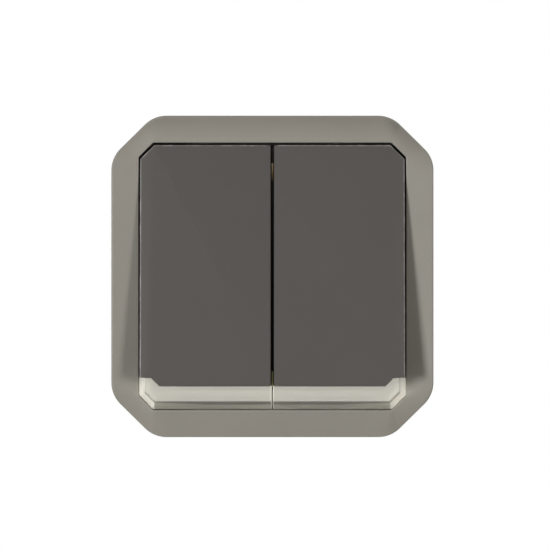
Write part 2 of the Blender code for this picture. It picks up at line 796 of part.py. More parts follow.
def stiffeners(root):
    """A ring and short spokes on the back of the chassis, round the case."""
    back = CHASSIS_BACK + RIB_HEIGHT
    shapes = [ring("rib_ring", bezel_outline(RIB_INSET[0]), bezel_outline(RIB_INSET[1]), root, back)]
    for side in (-1, 1):
        across = span(side, SPOKE_START, BEZEL_HALF - RIB_INSET[0] - GAP)
        for index, place in enumerate(SPOKE_PLACES):
            along = around(place, RIB_HALF)
            shapes.append(box(f"spoke_x_{side}_{index}", across, (root, back), along))
            shapes.append(box(f"spoke_z_{side}_{index}", along, (root, back), across))
    return shapes


def build_chassis():
    chassis = prism("chassis", "Y", bezel_outline(CHASSIS_INSET), CHASSIS_FRONT, CHASSIS_BACK)
    middle = (CHASSIS_FRONT + CHASSIS_BACK) / 2
    hooks = side_boxes("hook", HOOK_HALF, HOOK_RADIAL, (BARB_Y[0], middle))
    barbs = side_boxes("barb", HOOK_HALF, BARB_RADIAL, BARB_Y)
    bosses = screw_holes("boss", BOSS_RADIUS, (BOSS_FRONT, middle))
    posts = []
    bores = []
    for side, hand in GANGS:
        posts += lobe(f"inner_post_{hand}", span(side, *INNER_POST), middle, POST_RADIUS)
        posts += lobe(f"outer_post_{hand}", span(side, *OUTER_POST), middle, POST_RADIUS)
        bore_x = span(side, POST_BORE_START, OPENING_HALF)
        bores.append(cylinder(f"axle_bore_{hand}", "X", (AXLE_Y, 0), BORE_RADIUS, *bore_x))
    join(chassis, *hooks, *barbs, *bosses, *posts, *stiffeners(middle), *latches(middle))
    through = (CHASSIS_FRONT - MM, CHASSIS_BACK + MM)
    windows = gang_boxes("actuator_window", CHASSIS_WINDOW, through)
    lamp = (LAMP_X, LAMP_Z)
    pockets = gang_boxes("lamp_pocket", LAMP_POCKET, (POCKET_FRONT, CHASSIS_BACK + MM), lamp)
    lamp_windows = gang_boxes("lamp_window", LAMP_WINDOW, through, lamp)
    screw_bores = screw_holes("screw_bore", SCREW_HOLE, (BOSS_BORE_END, CHASSIS_BACK + MM))
    cut(chassis, *bores, *windows, *pockets, *lamp_windows, *screw_bores)
    make_part(chassis, "chassis_polyamide")


def build_membrane():
    membrane = prism("membrane", "Y", plate_outline(), *MEMBRANE_Y)
    join(membrane, *gang_boxes("collar", COLLAR, (COLLAR_FRONT, MEMBRANE_Y[1])))
    through = (COLLAR_FRONT - MM, MEMBRANE_Y[1] + MM)
    cut(membrane, *gang_boxes("lip", ACTUATOR_SLOT, through))
    cut(membrane, *screw_holes("membrane_hole", SCREW_HOLE, through))
    make_part(membrane, "membrane_silicone")


def build_cover():
    cover = prism("mechanism_cover", "Y", plate_outline(), *COVER_Y)
    through = (COVER_Y[0] - MM, COVER_Y[1] + MM)
    cut(cover, *gang_boxes("stem_slot", ACTUATOR_SLOT, through))
    cut(cover, *screw_holes("cover_hole", SCREW_HOLE, through))
    make_part(cover, "case_polyamide")


def clamp_places():
    """Name, height of the busbar, and direction away from it, of the three clamps of a gang."""
    return [("upper", BUSBAR_Z, 1), ("lower", -BUSBAR_Z, -1), ("common", COMMON_BUSBAR_Z, 1)]


def clamp_openings(side, hand, through):
    """Two wire entries and the release button's slot, for each clamp of a gang."""
    tools = []
    half = (BUTTON_HALF_X + SLIDING_GAP, (BUTTON_RISE[1] - BUTTON_RISE[0]) / 2 + SLIDING_GAP)
    for name, busbar, up in clamp_places():
        for i, offset in enumerate((-WIRE_OFFSET, WIRE_OFFSET)):
            place = (side * GANG_X + offset, busbar + up * WIRE_RISE)
            tools.append(cylinder(f"entry_{name}_{hand}_{i}", "Y", place, WIRE_RADIUS, *through))
            funnel = (HOUSING_Y[1] - FUNNEL_DEPTH, HOUSING_Y[1] + FUNNEL_DEPTH)
            tools.append(cylinder(
                f"funnel_{name}_{hand}_{i}", "Y", place, WIRE_RADIUS - FUNNEL_FLARE, *funnel,
                end_radius=WIRE_RADIUS + 3 * FUNNEL_FLARE,
            ))
        across = around(side * GANG_X, half[0])
        along = around(busbar + up * sum(BUTTON_RISE) / 2, half[1])
        tools.append(box(f"button_slot_{name}_{hand}", across, through, along))
    return tools


def build_housing():
    housing = bevel(prism("housing", "Y", plate_outline(), *HOUSING_Y), HOUSING_EDGE)
    grips = []
    for side in (-1, 1):
        across = span(side, HOUSING_HALF_X - GRIP_ROOT, HOUSING_HALF_X + GRIP_PROUD)
        for index, place in enumerate(GRIP_PLACES):
            grips.append(box(f"grip_{side}_{index}", across, GRIP_Y, around(place, GRIP_HALF)))
    join(housing, *grips)
    floor = HOUSING_Y[1] - FLOOR
    front_y = (HOUSING_Y[0] - MM, PARTITION_FRONT)
    room_y = (PARTITION_FRONT - MM, floor)
    tools = screw_holes("housing_hole", SCREW_HOLE, (front_y[0], HOUSING_Y[1] + MM))
    tools += screw_holes("head_hole", SCREW_HEAD_HOLE, (SCREW_SEAT, HOUSING_Y[1] + MM))
    tools += gang_boxes("front_room", (CHAMBER_HALF_X, TERMINAL_Z[1]), front_y)
    tools += gang_boxes("contact_room", (CHAMBER_HALF_X, CENTRE_HALF_Z), room_y)
    recess_y = (HOUSING_Y[1] - RECESS_DEPTH, HOUSING_Y[1] + MM)
    tools.append(box("label_recess", around(0, RECESS[0]), recess_y, around(0, RECESS[1])))
    half = (TERMINAL_Z[1] - TERMINAL_Z[0]) / 2
    for up in (-1, 1):
        centre = (GANG_X, up * (TERMINAL_Z[0] + half))
        tools += gang_boxes(f"terminal_room_{up}", (CHAMBER_HALF_X, half), room_y, centre)
    for side, hand in GANGS:
        tools += clamp_openings(side, hand, (floor - MM, HOUSING_Y[1] + MM))
    make_part(cut(housing, *tools), "case_polyamide")


def build_screws():
    for i, place in enumerate(screw_places(), start=1):
        slot_y = (SCREW_HEAD_Y[1] - SCREW_SLOT_DEPTH, HOUSING_Y[1])
        screw = cylinder(f"case_screw_{i}", "Y", place, SCREW_RADIUS, SCREW_TIP, slot_y[0])
        head = cylinder(f"screw_head_{i}", "Y", place, SCREW_HEAD_RADIUS, *SCREW_HEAD_Y)
        slot_x = around(place[0], SCREW_HEAD_HOLE)
        slot = box(f"screw_slot_{i}", slot_x, slot_y, around(place[1], SCREW_SLOT_HALF))
        make_part(cut(join(screw, head), slot), "zinc_steel")


# The mechanism of one gang.


def build_actuator(side, hand):
    """An arm that hangs on the axle, is clipped to the rocker, and ends at the toggle spring."""
    middle = side * GANG_X
    hub = cylinder(
        f"actuator_{hand}", "X", (AXLE_Y, 0), LUG_RADIUS, *around(middle, HUB_HALF), segments=24
    )
    plate_x = around(middle, PLATE_HALF_X)
    neck_x = around(middle, NECK_HALF_X)
    pin_y = (NECK_END - MM, NECK_END + PIN_LENGTH)
    added = [
        box(f"plate_{hand}", plate_x, PLATE_Y, around(0, PLATE_HALF_Z)),
        box(f"plate_root_{hand}", neck_x, (PLATE_Y[0], AXLE_Y), around(0, LUG_RADIUS)),
        box(f"neck_{hand}", neck_x, (AXLE_Y, NECK_END), around(0, NECK_HALF_Z)),
        cylinder(f"pin_{hand}", "Y", (middle, 0), PIN_RADIUS, *pin_y, segments=12),
    ]
    bore_x = span(side, LUG_SPANS[0][1], LUG_SPANS[1][0])
    bore = cylinder(f"hub_bore_{hand}", "X", (AXLE_Y, 0), BORE_RADIUS, *bore_x)
    for shape in [hub, *added, bore]:
        turn_about(shape, AXLE_Y, -SWING / 2)
    make_part(cut(join(hub, *added), bore), "actuator_white")


def build_moving_contact(side, hand):
    """A forked lever that rocks on the edge of the common contact."""
    middle = side * GANG_X
    lever_x = around(middle, FORK_OUTER)
    slot_x = around(middle, FORK_INNER)
    lever = box(f"moving_contact_{hand}", lever_x, (FORK_Y[0], LEVER_END), around(0, LEVER_HALF))
    slot = box(f"fork_slot_{hand}", slot_x, (FORK_Y[0] - MM, FORK_Y[1]), around(0, MM))
    pin_y = (FORK_Y[1] - PIN_LENGTH, LEVER_END - MM)
    pin = cylinder(f"cup_pin_{hand}", "Y", (middle, 0), LEVER_PIN_RADIUS, *pin_y)
    arm = (FORK_INNER + FORK_OUTER) / 2
    rivet_z = around(0, RIVET_HEIGHT)
    rivets = [
        cylinder(f"rivet_{hand}_{i}", "Z", (x, RIVET_Y), RIVET_RADIUS, *rivet_z)
        for i, x in enumerate(around(middle, arm))
    ]
    for shape in [lever, slot, pin, *rivets]:
        turn_about(shape, LEVER_PIVOT, -CONTACT_SWING / 2)
    make_part(join(cut(lever, slot), pin, *rivets), "contact_silver")


def build_toggle_spring(side, hand):
    """A coil spring pressed between the actuator's pin and the lever's."""
    low = Vector((0, NECK_END + SPRING_INSET - AXLE_Y, 0))
    low = Matrix.Rotation(-SWING / 2, 3, "X") @ low + Vector((side * GANG_X, AXLE_Y, 0))
    high = Vector((0, FORK_Y[1] - SPRING_INSET - LEVER_PIVOT, 0))
    high = Matrix.Rotation(-CONTACT_SWING / 2, 3, "X") @ high + Vector((side * GANG_X, LEVER_PIVOT, 0))
    along = high - low
    right = Vector((1, 0, 0))
    up = along.normalized().cross(right)
    curve = bpy.data.curves.new(f"toggle_spring_curve_{hand}", "CURVE")
    curve.dimensions = "3D"
    curve.bevel_depth = SPRING_WIRE
    curve.bevel_resolution = 1
    curve.use_fill_caps = True
    spline = curve.splines.new("POLY")
    steps = round(SPRING_TURNS * SPRING_STEPS)
    spline.points.add(steps)
    for i in range(steps + 1):
        turn = 2 * math.pi * SPRING_TURNS * i / steps
        point = low + along * i / steps + (right * math.cos(turn) + up * math.sin(turn)) * SPRING_RADIUS
        spline.points[i].co = (*point, 1)
    make_part(solid_from_curve(f"toggle_spring_{hand}", curve), "spring_steel")


def solid_from_curve(name, curve):
    """A closed mesh object from a bevelled curve, with its end caps joined on."""
    source = bpy.data.objects.new(name + "_curve", curve)
    TOOLS.objects.link(source)
    bpy.context.view_layer.update()
    mesh = bpy.data.meshes.new_from_object(source.evaluated_get(bpy.context.evaluated_depsgraph_get()))
    mesh_data = bmesh.new()
    mesh_data.from_mesh(mesh)
    bmesh.ops.remove_doubles(mesh_data, verts=mesh_data.verts, dist=0.001 * MM)
    bpy.data.objects.remove(source, do_unlink=True)
    return object_from(name, mesh_data)


def strip_part(name, side, path, thickness, half_x):
    """A flat strip bent along a path in Y and Z, centred on the gang."""
    return prism(name, "X", strip_outline(path, thickness), *around(side * GANG_X, half_x))


def build_fixed_contacts(side, hand):
    middle = side * GANG_X
    for name, up in (("upper", 1), ("lower", -1)):
        path = [
            (CONTACT_TIP, up * CONTACT_Z), (CONTACT_FRONT, up * CONTACT_Z),
            (CONTACT_FRONT, up * BUSBAR_Z), (BUSBAR_END, up * BUSBAR_Z),
        ]
        contact = strip_part(f"contact_{name}_{hand}", side, path, STRIP, STRIP_HALF_X)
        slot_y = (CONTACT_FRONT - STRIP, CONTACT_TIP + STRIP)
        slot_z = span(up, 0, CENTRE_HALF_Z)
        slot = box(f"contact_slot_{name}_{hand}", around(middle, FORK_INNER), slot_y, slot_z)
        make_part(cut(contact, slot), "brass")
    path = [(COMMON_FRONT, COMMON_TOP), (COMMON_FRONT, COMMON_BUSBAR_Z), (BUSBAR_END, COMMON_BUSBAR_Z)]
    make_part(strip_part(f"contact_common_{hand}", side, path, STRIP, STRIP_HALF_X), "brass")


def clamp_path():
    """The clamp spring's bend in Y and height above the busbar."""
    start, corner = CLAMP_BACK_LEG
    centre = (corner[0], corner[1] - CLAMP_BEND_RADIUS)
    toward = Vector(centre) - Vector(CLAMP_TIP)
    lean = math.degrees(math.atan2(toward.y, toward.x) - math.asin(CLAMP_BEND_RADIUS / toward.length))
    return [start] + arc(centre, CLAMP_BEND_RADIUS, 90, lean - 90, CLAMP_BEND_STEPS) + [CLAMP_TIP]


def build_clamps(side, hand):
    for name, busbar, up in clamp_places():
        path = [(y, busbar + up * height) for y, height in clamp_path()]
        clamp = strip_part(f"clamp_spring_{name}_{hand}", side, path, CLAMP_STRIP, CLAMP_HALF_X)
        make_part(clamp, "spring_steel")
        outline = [(y * MM, busbar + up * height * MM) for y, height in BUTTON_PROFILE]
        across = around(side * GANG_X, BUTTON_HALF_X)
        button = prism(f"release_button_{name}_{hand}", "X", outline, *across)
        set_origin(button, (side * GANG_X, HOUSING_Y[1], busbar + up * sum(BUTTON_RISE) / 2))
        make_part(button, "release_orange")


def build_lamp(side, hand):
    pieces = (("board", BOARD, BOARD_Y, "board_green"), ("led", LED, LED_Y, "led_clear"))
    for name, half, y, material in pieces:
        across = around(side * LAMP_X, half[0])
        make_part(box(f"lamp_{name}_{hand}", across, y, around(LAMP_Z, half[1])), material)


GANGS = ((-1, "left"), (1, "right"))

clear_scene()
PARTS = new_collection("rocker_switch")
TOOLS = new_collection("cutters")
for material_name, settings in MATERIALS.items():
    new_material(material_name, *settings)

build_bezel()
build_gasket()
build_chassis()
build_membrane()
build_cover()
build_housing()
build_screws()
for gang_side, gang_hand in GANGS:
    build_rocker(gang_side, gang_hand)
    build_lens(gang_side, gang_hand)
    build_diffuser(gang_side, gang_hand)
    build_axle(gang_side, gang_hand)
    build_actuator(gang_side, gang_hand)
    build_toggle_spring(gang_side, gang_hand)
    build_moving_contact(gang_side, gang_hand)
    build_fixed_contacts(gang_side, gang_hand)
    build_clamps(gang_side, gang_hand)
    build_lamp(gang_side, gang_hand)
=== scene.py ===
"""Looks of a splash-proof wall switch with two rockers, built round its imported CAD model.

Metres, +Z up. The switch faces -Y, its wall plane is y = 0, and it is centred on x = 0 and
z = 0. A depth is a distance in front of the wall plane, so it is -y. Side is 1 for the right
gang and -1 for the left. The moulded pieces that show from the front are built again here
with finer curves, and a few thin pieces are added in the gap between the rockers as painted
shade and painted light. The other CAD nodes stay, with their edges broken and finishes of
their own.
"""

import math

import bmesh
import bpy
from mathutils import Matrix, Vector


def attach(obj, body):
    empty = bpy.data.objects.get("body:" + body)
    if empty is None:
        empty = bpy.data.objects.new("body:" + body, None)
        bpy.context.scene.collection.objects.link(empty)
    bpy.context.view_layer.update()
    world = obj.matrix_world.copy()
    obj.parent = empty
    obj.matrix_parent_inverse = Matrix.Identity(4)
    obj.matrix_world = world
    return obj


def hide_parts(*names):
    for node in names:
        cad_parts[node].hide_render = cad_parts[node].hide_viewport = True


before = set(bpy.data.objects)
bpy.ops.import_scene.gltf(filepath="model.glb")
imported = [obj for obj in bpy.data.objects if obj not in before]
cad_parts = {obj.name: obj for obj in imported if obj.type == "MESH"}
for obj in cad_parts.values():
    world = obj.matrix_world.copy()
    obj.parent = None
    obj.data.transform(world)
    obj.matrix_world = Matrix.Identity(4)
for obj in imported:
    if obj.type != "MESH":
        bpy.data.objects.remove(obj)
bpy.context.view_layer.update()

MM = 0.001
GANGS = ((-1, "left"), (1, "right"))

# The bezel: an eight-sided ring with rounded corners, as in the CAD.
BEZEL_HALF = 33.0 * MM
BEZEL_DIAGONAL = 40.55 * MM
BEZEL_FILLET = 6.3 * MM
OPENING_HALF = 27.4 * MM
OPENING_DIAGONAL = 36.65 * MM
OPENING_FILLET = 0.7 * MM
FILLET_STEPS = 12
SIDE_STEPS = 44
FRONT_COUNT = 22
EDGE_COUNT = 5
RIM_EDGE = 5.2 * MM
SIDE_LIFT = 2.8 * MM
SIDE_BLEND = 20.0 * MM
SIDE_BLEND_START = 6.0 * MM
LIP_TOP = 7.4 * MM
LIP_BOTTOM = 7.0 * MM
EDGE_ROUND = 0.28 * MM
LIP_ROUND = 0.2 * MM
BEZEL_SKIN = 1.6 * MM
OUTER_WALL = 1.4 * MM
SKIRT_WALL = 1.1 * MM
SKIRT_END = 0.8 * MM
SLOPE_TOP = 12.0 * MM  # height where the rim starts to change from domed to straight
SLOPE_LENGTH = 36.0 * MM
WINDOW_PLACE = 14.0 * MM  # from the middle of a side to the middle of a snap window
WINDOW_HALF = 2.8 * MM
WINDOW_Y = (-3.9 * MM, -1.9 * MM)
WINDOW_X = (OPENING_HALF - 0.3 * MM, OPENING_HALF + 1.4 * MM)

# Rockers and lenses.
FACE_TOP = 7.2 * MM
FACE_SLOPE = math.tan(math.radians(6.5))
ROCKER_TOP = 26.95 * MM
ROCKER_SIDE = 27.12 * MM
ROCKER_INNER = 0.3 * MM
ROCKER_CUT = 2.9 * MM
ROCKER_ROUND = 0.35 * MM
ROCKER_CREASE = 0.02 * MM  # corner radius beside the lens
ROCKER_SHARES = (0, 0, 0, 1, 1, 1, 0.2)  # how far each edge is rolled, the inner edge last
NOTCH_Z = -22.33 * MM
NOTCH_X = 23.0 * MM
EAR_Z = -20.68 * MM
EAR_X = 24.65 * MM
SEAM = 0.03 * MM  # closer than in the CAD, as in the assembled switch
LENS_INNER = 0.17 * MM
LENS_FACE_SIDE = 26.0 * MM
LENS_FACE_BOTTOM = 25.5 * MM
LENS_FACE_DIAGONAL = 49.4 * MM
LENS_SIDE = 27.33 * MM
LENS_BOTTOM = 27.2 * MM
LENS_DIAGONAL = 51.65 * MM
LENS_STEP = 9.0 * MM  # depth where the facets grow less steep
LENS_STEP_SHARE = 0.38  # of the way from the face's outline to the base's, at that depth
LENS_SHOULDER_SHARE = 0.06  # of the same way, just below the face
LENS_WALL = 0.9 * MM
LENS_BASE = 6.5 * MM
LENS_BACK = 5.6 * MM
LENS_ROUND = 0.12 * MM
TONGUE_X = (7.5 * MM, 18.5 * MM)  # middles of the two tongues that hold a lens, on the right gang
TONGUE_HALF = 1.5 * MM
TONGUE_Y = (-10.0 * MM, -9.0 * MM)
TONGUE_Z = (-23.1 * MM, -19.6 * MM)
BARB_Y = (-10.45 * MM, -9.9 * MM)
BARB_Z = (-20.5 * MM, -19.6 * MM)
LIGHT_LINE = 0.5 * MM  # along x, from a lens's face to the painted highlight on its corner facet
CUT_START = 24.15 * MM  # x where a lens's bottom facet meets its corner facet
BAND_DEPTH = 0.75 * MM  # of the painted shade band below a lens's face
BAND_THIN = 0.15 * MM  # of the same band at the outer end
BAND_START = 14.0 * MM  # x where the band starts to thin out
BAND_SOFT = 0.06 * MM  # width over which one band gives way to the next
PAINTED_EDGE_GLOW = 0.18  # emission strength of a painted glow on a lens's cut edges
BAR_INSET = 0.95 * MM
BAR_ROUND = 0.1 * MM
BAR_GAP = 0.1 * MM
BAR_THICKNESS = 0.6 * MM
TRIM = 0.01 * MM
ROLL_STEPS = 5

# Sheets in the gap between the rockers, as painted shade and painted light. A light fin's x values are for
# the right gang.
WEB_HALF = 0.12 * MM
WEB_Y = (-6.4 * MM, -5.4 * MM)
WEB_Z = (-26.5 * MM, 26.5 * MM)
LEAF_HALF = 0.16 * MM
LEAF_Y = (-7.3 * MM, -6.42 * MM)
LEAF_Z = (19.7 * MM, 23.2 * MM)
FIN_X = (0.02 * MM, 0.12 * MM)
FIN_SINK = 0.7 * MM  # of the fin's front behind the face beside it
FIN_MIDDLE = -19.0 * MM  # height where that face's depth is taken
FIN_BACK = 9.0 * MM
FIN_Z = (-22.4 * MM, -19.4 * MM)

# Shading and cleaning of meshes.
SHARP_ANGLE = 32  # degrees between faces, above which the shading breaks
BEZEL_ANGLE = 40  # the same for the bezel
ROCKER_ANGLE = 30  # the same for rockers and light bars
WELD_DISTANCE = 0.001 * MM
CLEAN_DISTANCE = 0.0005 * MM


# Mesh helpers.


def piece_from(name, mesh_data, sharp=SHARP_ANGLE):
    """An object from a bmesh, smooth but for edges sharper than an angle in degrees."""
    bmesh.ops.recalc_face_normals(mesh_data, faces=mesh_data.faces)
    for face in mesh_data.faces:
        face.smooth = True
    for edge in mesh_data.edges:
        edge.smooth = edge.calc_face_angle(0) < math.radians(sharp)
    mesh = bpy.data.meshes.new(name)
    mesh_data.to_mesh(mesh)
    mesh_data.free()
    obj = bpy.data.objects.new(name, mesh)
    bpy.context.scene.collection.objects.link(obj)
    return obj


def loft(name, loops, closed=False, sharp=SHARP_ANGLE):
    """A solid through matching loops of points, capped at both ends or closed into a ring."""
    mesh_data = bmesh.new()
    rings = [[mesh_data.verts.new(point) for point in loop] for loop in loops]
    count = len(rings[0])
    pairs = list(zip(rings, rings[1:]))
    if closed:
        pairs.append((rings[-1], rings[0]))
    for first, second in pairs:
        for i in range(count):
            j = (i + 1) % count
            mesh_data.faces.new((first[i], first[j], second[j], second[i]))
    if not closed:
        mesh_data.faces.new(rings[0])
        mesh_data.faces.new(list(reversed(rings[-1])))
    return piece_from(name, mesh_data, sharp)


def box(name, x, y, z):
    """A box between two values along each axis."""
    loops = [[(u, v, w) for u, v in ((x[0], y[0]), (x[1], y[0]), (x[1], y[1]), (x[0], y[1]))] for w in z]
    return loft(name, loops)


def node_copy(name, node):
    """A welded copy of a CAD node's mesh."""
    mesh_data = bmesh.new()
    mesh_data.from_mesh(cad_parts[node].data)
    bmesh.ops.remove_doubles(mesh_data, verts=mesh_data.verts, dist=WELD_DISTANCE)
    return piece_from(name, mesh_data)


def carve(obj, operation, tools, sharp=SHARP_ANGLE):
    """Applies Booleans to obj and removes the tools."""
    for tool in tools:
        modifier = obj.modifiers.new(tool.name, "BOOLEAN")
        modifier.operation = operation
        modifier.object = tool
        modifier.solver = "EXACT"
    bpy.context.view_layer.update()
    result = bpy.data.meshes.new_from_object(obj.evaluated_get(bpy.context.evaluated_depsgraph_get()))
    obj.modifiers.clear()
    for tool in tools:
        bpy.data.objects.remove(tool, do_unlink=True)
    mesh_data = bmesh.new()
    mesh_data.from_mesh(result)
    bmesh.ops.remove_doubles(mesh_data, verts=mesh_data.verts, dist=CLEAN_DISTANCE)
    bmesh.ops.dissolve_degenerate(mesh_data, edges=mesh_data.edges, dist=CLEAN_DISTANCE)
    name = obj.name
    bpy.data.objects.remove(obj, do_unlink=True)
    return piece_from(name, mesh_data, sharp)


# Outlines, as in the CAD.


def arc(centre, radius, start, end, segments):
    """Points of an arc, with angles in degrees."""
    points = []
    for i in range(segments + 1):
        angle = math.radians(start + (end - start) * i / segments)
        points.append((centre[0] + radius * math.cos(angle), centre[1] + radius * math.sin(angle)))
    return points


def octagon(half, diagonal, fillet, side_stops=()):
    """Points round a square with cut and rounded corners, anticlockwise from the upper right."""
    near = diagonal * math.sqrt(2) - half
    corners = [
        (half, near), (near, half), (-near, half), (-half, near),
        (-half, -near), (-near, -half), (near, -half), (half, -near),
    ]
    reach = fillet / math.cos(math.pi / 8)
    points = []
    for i, (x, z) in enumerate(corners):
        bisector = math.radians(22.5 + 45 * i)
        centre = (x - reach * math.cos(bisector), z - reach * math.sin(bisector))
        points += arc(centre, fillet, 45 * i, 45 * (i + 1), FILLET_STEPS)
        if i in (3, 7):
            tangent = fillet * math.tan(math.pi / 8)
            top = near - tangent
            stops = side_stops if i == 3 else reversed(side_stops)
            points += [(x, top - 2 * top * stop) for stop in stops]
    return points


def inset(outline, distance):
    """The outline moved inwards. Its points run anticlockwise."""
    moved = []
    for i, point in enumerate(outline):
        before, after = Vector(outline[i - 1]), Vector(outline[(i + 1) % len(outline)])
        point = Vector(point)
        a, b = (point - before).normalized(), (after - point).normalized()
        normal_a, normal_b = Vector((-a.y, a.x)), Vector((-b.y, b.x))
        corner = (normal_a + normal_b).normalized()
        moved.append(tuple(point + corner * distance / corner.dot(normal_a)))
    return moved


def inset_edges(outline, distances):
    """The outline with each edge moved inwards by a distance of its own."""
    normals = []
    for i, point in enumerate(outline):
        along = (Vector(outline[(i + 1) % len(outline)]) - Vector(point)).normalized()
        normals.append(Vector((-along.y, along.x)))
    moved = []
    for i, point in enumerate(outline):
        before, after = normals[i - 1], normals[i]
        share = before.dot(after)
        shift = before * (distances[i - 1] - distances[i] * share)
        shift += after * (distances[i] - distances[i - 1] * share)
        moved.append(tuple(Vector(point) + shift / (1 - share * share)))
    return moved


def rounded(outline, radii, steps=4):
    """The outline with each corner turned into an arc of its own radius."""
    points = []
    for i, (point, radius) in enumerate(zip(outline, radii)):
        point = Vector(point)
        before = (Vector(outline[i - 1]) - point).normalized()
        after = (Vector(outline[(i + 1) % len(outline)]) - point).normalized()
        half = before.angle(after) / 2
        tangent = radius / math.tan(half)
        centre = point + (before + after).normalized() * (radius / math.sin(half))
        start, end = point + before * tangent - centre, point + after * tangent - centre
        turn = start.angle_signed(end)
        for step in range(steps + 1):
            points.append(tuple(centre + Matrix.Rotation(-turn * step / steps, 2) @ start))
    return points


def mirrored(outline, side):
    """The outline for one gang. On the left it is mirrored, and its order turns round."""
    return list(outline) if side > 0 else [(-u, v) for u, v in reversed(outline)]


def on_surface(outline, depth):
    """The outline's points at the depth that a function gives for their height."""
    return [(x, -depth(z), z) for x, z in outline]


def span(side, low, high):
    """Two x values of one gang, in rising order."""
    return tuple(sorted((side * low, side * high)))


# The bezel.


def smoothstep(value):
    """0 up to a value of 0, 1 from a value of 1, and a soft curve between them."""
    value = min(1.0, max(0.0, value))
    return value * value * (3 - 2 * value)


def sideness(outer):
    """1 along the two upright sides, fading to 0 round the corners and 0 along the top and bottom."""
    return smoothstep((abs(outer.x) - abs(outer.y) + SIDE_BLEND_START) / SIDE_BLEND)


def rim_depth(t, side, z):
    """Depth of the bezel's front at share t from the outer edge to the lip, and at height z."""
    lowness = smoothstep((SLOPE_TOP - z) / SLOPE_LENGTH)
    straightness = lowness + side * (1 - lowness)
    dome = 1 - (1 - t) ** 2
    lip = LIP_TOP + (LIP_BOTTOM - LIP_TOP) * lowness
    edge = RIM_EDGE + SIDE_LIFT * side
    return edge + (lip - edge) * (dome + (t - dome) * straightness)


def bezel_section(outer, wall, skirt, lip):
    """One closed section of the bezel, as (place, depth) pairs, from the back of its outer wall."""
    width = (lip - outer).length
    side = sideness(outer)

    def front(t):
        place = outer.lerp(lip, t)
        return place, rim_depth(t, side, place.y)

    def under(place):
        t = min((place - outer).length / width, 1.0)
        return place, front(t)[1] - BEZEL_SKIN

    section = [(outer, 0.0), (outer, RIM_EDGE / 2)]
    edge_depth = front(EDGE_ROUND / width)[1]
    for step in range(EDGE_COUNT + 1):
        angle = math.pi / 2 * step / EDGE_COUNT
        across = EDGE_ROUND * (1 - math.cos(angle)) / width
        section.append((outer.lerp(lip, across), edge_depth - EDGE_ROUND * (1 - math.sin(angle))))
    start = EDGE_ROUND / width
    end = 1 - LIP_ROUND / width
    section += [front(start + (end - start) * i / FRONT_COUNT) for i in range(1, FRONT_COUNT + 1)]
    lip_depth = front(end)[1]
    for step in range(1, 4):
        angle = math.pi / 2 * step / 3
        across = end + LIP_ROUND * math.sin(angle) / width
        section.append((outer.lerp(lip, across), lip_depth - LIP_ROUND * (1 - math.cos(angle))))
    section += [(lip, SKIRT_END), (skirt, SKIRT_END), under(skirt)]
    section += [under(skirt.lerp(wall, share)) for share in (0.25, 0.5, 0.75, 1.0)]
    return section + [(wall, 0.0)]


def make_bezel():
    """The ring round the rockers, with a skirt round its opening and windows for the snap hooks."""
    stops = [(i + 0.5) / SIDE_STEPS for i in range(SIDE_STEPS)]
    outlines = [
        octagon(BEZEL_HALF - step, BEZEL_DIAGONAL - step, BEZEL_FILLET - step, stops)
        for step in (0, OUTER_WALL)
    ]
    outlines += [
        octagon(OPENING_HALF + step, OPENING_DIAGONAL + step, OPENING_FILLET + step, stops)
        for step in (SKIRT_WALL, 0)
    ]
    sections = []
    for points in zip(*outlines):
        section = bezel_section(*(Vector(p) for p in points))
        sections.append([(p.x, -depth, p.y) for p, depth in section])
    bezel = loft("bezel_moulding", sections, closed=True, sharp=BEZEL_ANGLE)
    windows = []
    for side in (-1, 1):
        across = span(side, *WINDOW_X)
        for index, place in enumerate((-WINDOW_PLACE, WINDOW_PLACE)):
            along = (place - WINDOW_HALF, place + WINDOW_HALF)
            windows.append(box(f"window_x_{side}_{index}", across, WINDOW_Y, along))
            windows.append(box(f"window_z_{side}_{index}", along, WINDOW_Y, across))
    return carve(bezel, "DIFFERENCE", windows, sharp=BEZEL_ANGLE)


# Rockers, lenses and light bars.


def face_depth(z):
    """Depth of the sloped face of a rocker and its lens, at a height."""
    return FACE_TOP + (ROCKER_TOP - z) * FACE_SLOPE


def rocker_outline():
    """A key from the front: the notch for the lens, the ear, the cut upper corner."""
    return [
        (ROCKER_INNER, NOTCH_Z), (NOTCH_X, NOTCH_Z), (EAR_X, EAR_Z), (ROCKER_SIDE, EAR_Z),
        (ROCKER_SIDE, ROCKER_TOP - ROCKER_CUT), (ROCKER_SIDE - ROCKER_CUT, ROCKER_TOP),
        (ROCKER_INNER, ROCKER_TOP),
    ]


def rolled(outline, radii, shares, depth, radius, side):
    """Loops that round the front edge of a shape, from face to side, by a share for each edge."""
    loops = []
    for step in range(ROLL_STEPS + 1):
        angle = math.pi / 2 * step / ROLL_STEPS
        loop = inset_edges(outline, [share * radius * (1 - math.sin(angle)) for share in shares])
        drop = radius * (1 - math.cos(angle))
        loop = mirrored(rounded(loop, radii), side)
        loops.append(on_surface(loop, lambda z, drop=drop: depth(z) - drop))
    return loops


def make_rocker(side, hand):
    """The CAD rocker, with its front edge and its free corners rounded."""
    outline = inset(rocker_outline(), TRIM)
    radii = [ROCKER_CREASE] * 4 + [ROCKER_ROUND] * 3
    loops = rolled(outline, radii, ROCKER_SHARES, lambda z: face_depth(z) - TRIM, ROCKER_ROUND, side)
    loops.append(on_surface(mirrored(rounded(outline, radii), side), lambda z: MM))
    shape = loft(f"rocker_shape_{hand}", loops)
    key = node_copy(f"rocker_key_{hand}", f"rocker_{hand}")
    return carve(key, "INTERSECT", [shape], sharp=ROCKER_ANGLE)


